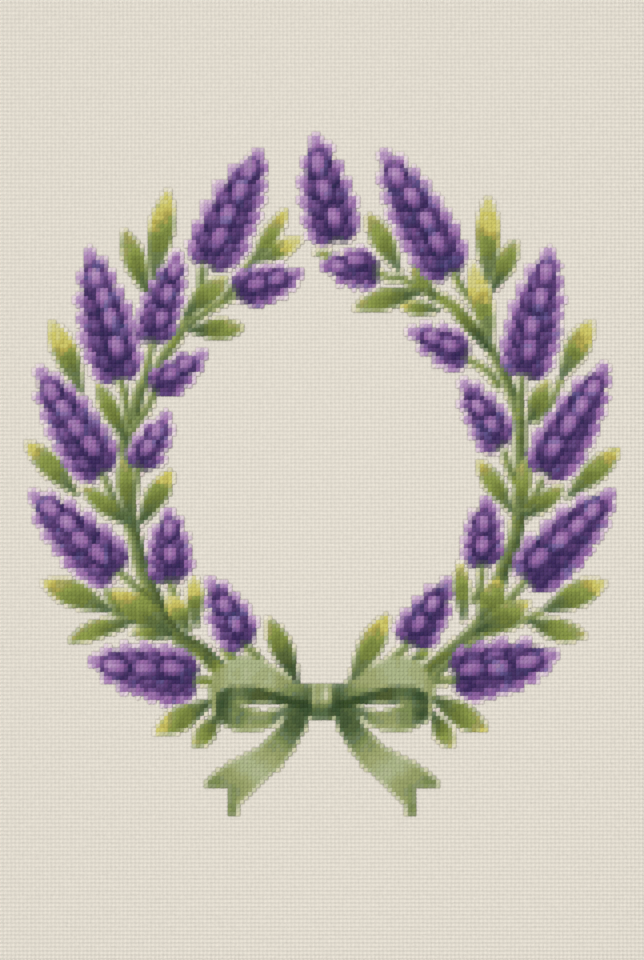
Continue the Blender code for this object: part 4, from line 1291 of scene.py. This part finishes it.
angle = np.linspace(np.pi / 2, -np.pi / 2, FOLD_STEPS + 1)[1:]
profile = [(CLOTH_THICKNESS * (1 - np.cos(a)), CLOTH_THICKNESS * (1 + np.sin(a))) for a in angle]
profile += [(HEM_START, HEM_LIFT)]
profile += [(HEM_WIDTH + past, height) for past, height in CUT_EDGE]
width_points = hem_points_along(BACK_COLUMNS, PANEL[0])
length_points = hem_points_along(BACK_ROWS, PANEL[1])
fine_at = ring_positions(np.arange(across + 1) / across, np.arange(down + 1) / down)
coarse_at = ring_positions(width_points, length_points)
around = len(coarse_at) - 1
corner_places = np.flatnonzero(np.isin(coarse_at[:-1], (0, 1, 2, 3)))
sheets, faces = [points], [triangles]
count = len(points)
ring_before = None
for distance, height in profile:
    ring = rectangle(width_points, length_points, distance)
    heights = np.full(around, float(height))
    if height < CLOTH_THICKNESS / 2 and distance > CLOTH_THICKNESS:
        heights[corner_places] += MITRE_RISE
    sheets.append(np.column_stack([ring, heights]))
    numbers = count + np.arange(around)
    closed = np.append(numbers, numbers[0])
    if ring_before is None:
        faces.append(zipped(border, fine_at, closed, coarse_at))
    else:
        a, b = ring_before[:-1], ring_before[1:]
        c, d = closed[1:], closed[:-1]
        faces += [np.stack([a, d, c], axis=-1), np.stack([a, c, b], axis=-1)]
    ring_before = closed
    count += around
print("hem:", around, "points round the panel,", len(profile), "rings")

# %% [markdown]
# The back inside the hem is a plain grid of larger squares, zipped to the hem's last ring. It is the
# underside, so its triangles turn the other way from those of the face. The volume of the closed sheet
# is printed as a test: it is above zero only if the triangles face outwards.

# %% Close the back
BACK_GAP = 0.001
u, v = np.arange(BACK_COLUMNS + 1) / BACK_COLUMNS, np.arange(BACK_ROWS + 1) / BACK_ROWS
half = PANEL / 2 - HEM_WIDTH - BACK_GAP
back_x, back_y = np.meshgrid(half[0] * (2 * u - 1), half[1] * (2 * v - 1))
sheets.append(np.stack([back_x, back_y, np.full_like(back_x, CLOTH_THICKNESS)], axis=-1).reshape(-1, 3))
number = count + np.arange(back_x.size).reshape(back_x.shape)
a, b, c, d = number[:-1, :-1], number[:-1, 1:], number[1:, 1:], number[1:, :-1]
faces += [np.stack([a, c, b], axis=-1).reshape(-1, 3), np.stack([a, d, c], axis=-1).reshape(-1, 3)]
faces.append(zipped(ring_before, coarse_at, round_border(number), ring_positions(u, v)))
cloth_points, cloth_triangles = np.concatenate(sheets), np.concatenate(faces)
corners = cloth_points[cloth_triangles]
volume = (corners[:, 0] * np.cross(corners[:, 1], corners[:, 2])).sum() / 6
print("cloth:", len(cloth_triangles), "triangles,", round(1e6 * volume, 1), "cubic cm")

# %% [markdown]
# ## The look of the cloth
#
# The weave is drawn in the material, at its true scale. In each block four warp threads cross four
# weft threads, and the bump is the higher of the two at each place. The holes at the corners of the
# blocks are darker, because they look through to the shade behind. The colour is an unbleached cotton
# with a slight change from thread to thread.

# %% Cloth material
THREADS_PER_BLOCK = 4
CUSHION = 0.00016
cloth_material, tree, shader = new_material(
    "block_weave_cotton", {"Roughness": 0.85, "Specular IOR Level": 0.2, "Sheen Weight": 0.1}
)
place = node(tree, "ShaderNodeTexCoord")
to_blocks = node(
    tree,
    "ShaderNodeMapping",
    {"Vector": place.outputs["Object"], "Scale": 3 * (1 / PITCH,), "Location": (COLUMNS / 2, ROWS / 2, 0)},
)
in_blocks = to_blocks.outputs["Vector"]
parts = node(tree, "ShaderNodeSeparateXYZ", {"Vector": in_blocks})


def wave(axis, per_block, operation="COSINE"):
    """A wave along one axis of the cloth with so many turns to a block."""
    return combined(tree, operation, combined(tree, "MULTIPLY", parts.outputs[axis], 2 * np.pi * per_block))


warp = combined(tree, "MULTIPLY", wave("X", THREADS_PER_BLOCK), -1)
weft = combined(tree, "MULTIPLY", wave("Y", THREADS_PER_BLOCK), -1)
over = combined(tree, "MULTIPLY", wave("X", 2, "SINE"), wave("Y", 2, "SINE"))
warp_over, weft_over = combined(tree, "ADD", warp, over), combined(tree, "SUBTRACT", weft, over)
height = combined(tree, "MAXIMUM", warp_over, weft_over)
corner = combined(tree, "ADD", wave("X", 1), wave("Y", 1))
rise = combined(tree, "MULTIPLY", corner, -1)
cushion = node(tree, "ShaderNodeBump", {"Height": rise, "Strength": 1, "Distance": CUSHION})
bump = node(
    tree,
    "ShaderNodeBump",
    {"Height": height, "Normal": cushion.outputs["Normal"], "Strength": 0.3, "Distance": 0.00006},
)
feed(tree, shader.inputs["Normal"], bump.outputs["Normal"])
hole = to_range(tree, corner, (1.5, 2), (1, 0.72))
threads = to_range(tree, noise(tree, in_blocks, 2.5, 3), (0.3, 0.7), (0.97, 1.03))
dim = combined(tree, "MULTIPLY", hole, threads)
cloth_colour = (*to_linear(CLOTH_COLOUR), 1)
feed(tree, shader.inputs["Base Color"], darkened(tree, cloth_colour, dim))
cloth = make_piece("cloth_sheet", cloth_points, cloth_triangles, cloth_material)

# %% [markdown]
# ## Running stitch along the hem
#
# The hem is held by a plain running stitch in cream cotton, two blocks over and one block under,
# a little way in from the edge. What goes over on the face goes under on the back, so the same row
# gives both.

# %% Sew the hem
HEM_LINE = 3.5 * PITCH
STITCH_OVER, STITCH_UNDER = 2 * PITCH, PITCH
HEM_STITCH = dict(
    places=(0.15, 0.5, 0.85),
    half_widths=(0.00022, 0.00028, 0.00022),
    heights=(0.0001, 0.00012, 0.0001),
)
OVER_LEVEL, OVER_THICK = FACE - 0.0001, 0.00018
UNDER_LEVEL, UNDER_THICK = 0.00025, 0.00012
CREAM_SHADE, CREAM_LIGHT = (206, 198, 178), (238, 232, 216)
cream_material, tree, shader = new_material("cream_sewing_cotton", {"Roughness": 0.6})
place = node(tree, "ShaderNodeTexCoord")
creams = {
    "Factor": noise(tree, place.outputs["Object"], 1800, 2),
    "A": (*to_linear(CREAM_SHADE), 1),
    "B": (*to_linear(CREAM_LIGHT), 1),
}
tint = node(tree, "ShaderNodeMix", creams, data_type="RGBA")
feed(tree, shader.inputs["Base Color"], tint.outputs["Result"])


def hem_row(first, step):
    """Starts and ends of the stitches round the panel: they begin at first and are step long."""
    half = PANEL / 2 - HEM_LINE
    corners = np.array([(-1, -1), (1, -1), (1, 1), (-1, 1)]) * half
    rows = []
    for corner, following in zip(corners, np.roll(corners, -1, axis=0)):
        length = np.abs(following - corner).sum()
        along = (following - corner) / length
        count = int((length - PITCH) // (STITCH_OVER + STITCH_UNDER))
        pitch = (length - PITCH) / count
        places = PITCH / 2 + first + pitch * np.arange(count)
        rows.append(np.stack([corner + along * places[:, None], corner + along * (places + step)[:, None]]))
    return np.concatenate(rows, axis=1)


hem_points, hem_triangles, hem_count = [], [], 0
for first, step, level, thick, up in (
    (0, STITCH_OVER, OVER_LEVEL, OVER_THICK, 1),
    (STITCH_OVER, STITCH_UNDER, UNDER_LEVEL, UNDER_THICK, -1),
):
    start, end = (np.column_stack([row, np.full(len(row), level)]) for row in hem_row(first, step))
    row_points, row_triangles, _ = bars(
        start, end, thick=thick, section=FLOSS_SECTION, up=up, **HEM_STITCH
    )
    hem_points.append(row_points.reshape(-1, 3))
    hem_triangles.append(row_triangles + hem_count)
    hem_count += len(hem_points[-1])
hem_stitches = make_piece(
    "hem_stitches", np.concatenate(hem_points), np.concatenate(hem_triangles), cream_material
)
for piece in (cloth, hem_stitches):
    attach(piece, "root")
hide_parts("cloth")

# %% [markdown]
# ## Floor, light and camera
#
# The panel lies face up on a pale floor. A broad sun from the upper left gives the same light to
# every stitch, and a pale sky fills the shadows, as a large window would. The camera looks straight
# down through a long lens and frames the chart edge to edge.

# %% Lay the floor
FLOOR_HALF, FLOOR_POINTS = 3.0, 9
FLOOR_DROP = 0.0005
side = np.linspace(-FLOOR_HALF, FLOOR_HALF, FLOOR_POINTS)
x, y = np.meshgrid(side, side)
floor_points = np.stack([x, y, np.full_like(x, -FLOOR_DROP)], axis=-1).reshape(-1, 3)
number = np.arange(x.size).reshape(x.shape)
a, b, c, d = number[:-1, :-1], number[:-1, 1:], number[1:, 1:], number[1:, :-1]
halves = [np.stack([a, b, c], axis=-1).reshape(-1, 3), np.stack([a, c, d], axis=-1).reshape(-1, 3)]
floor_look = {"Base Color": (0.72, 0.71, 0.69, 1), "Roughness": 0.8}
floor_material = new_material("pale_floor", floor_look)[0]
floor = make_piece("floor", floor_points, np.concatenate(halves), floor_material)

# %% Set the light and the camera
SUN_STRENGTH, SUN_SPREAD, SUN_TILT = 1.18, 35, (-32, -26, 0)
SKY_STRENGTH = 0.89
sun = bpy.data.lights.new("window_light", "SUN")
sun.energy = SUN_STRENGTH
sun.angle = np.radians(SUN_SPREAD)
sun_object = bpy.data.objects.new("window_light", sun)
sun_object.rotation_euler = np.radians(SUN_TILT)
bpy.context.scene.collection.objects.link(sun_object)
world = bpy.data.worlds.new("studio")
world.use_nodes = True
world.node_tree.nodes["Background"].inputs["Color"].default_value = (1, 1, 1, 1)
world.node_tree.nodes["Background"].inputs["Strength"].default_value = SKY_STRENGTH
bpy.context.scene.world = world
bpy.context.scene.view_settings.view_transform = "Standard"

CAMERA_HEIGHT = 1.6
camera = bpy.data.cameras.new("camera")
camera.sensor_fit = "VERTICAL"
camera.sensor_height = 36
camera.lens = camera.sensor_height * (CAMERA_HEIGHT - FACE) / (ROWS * PITCH)
camera_object = bpy.data.objects.new("camera", camera)
camera_object.location = (0, 0, CAMERA_HEIGHT)
bpy.context.scene.collection.objects.link(camera_object)
bpy.context.scene.camera = camera_object
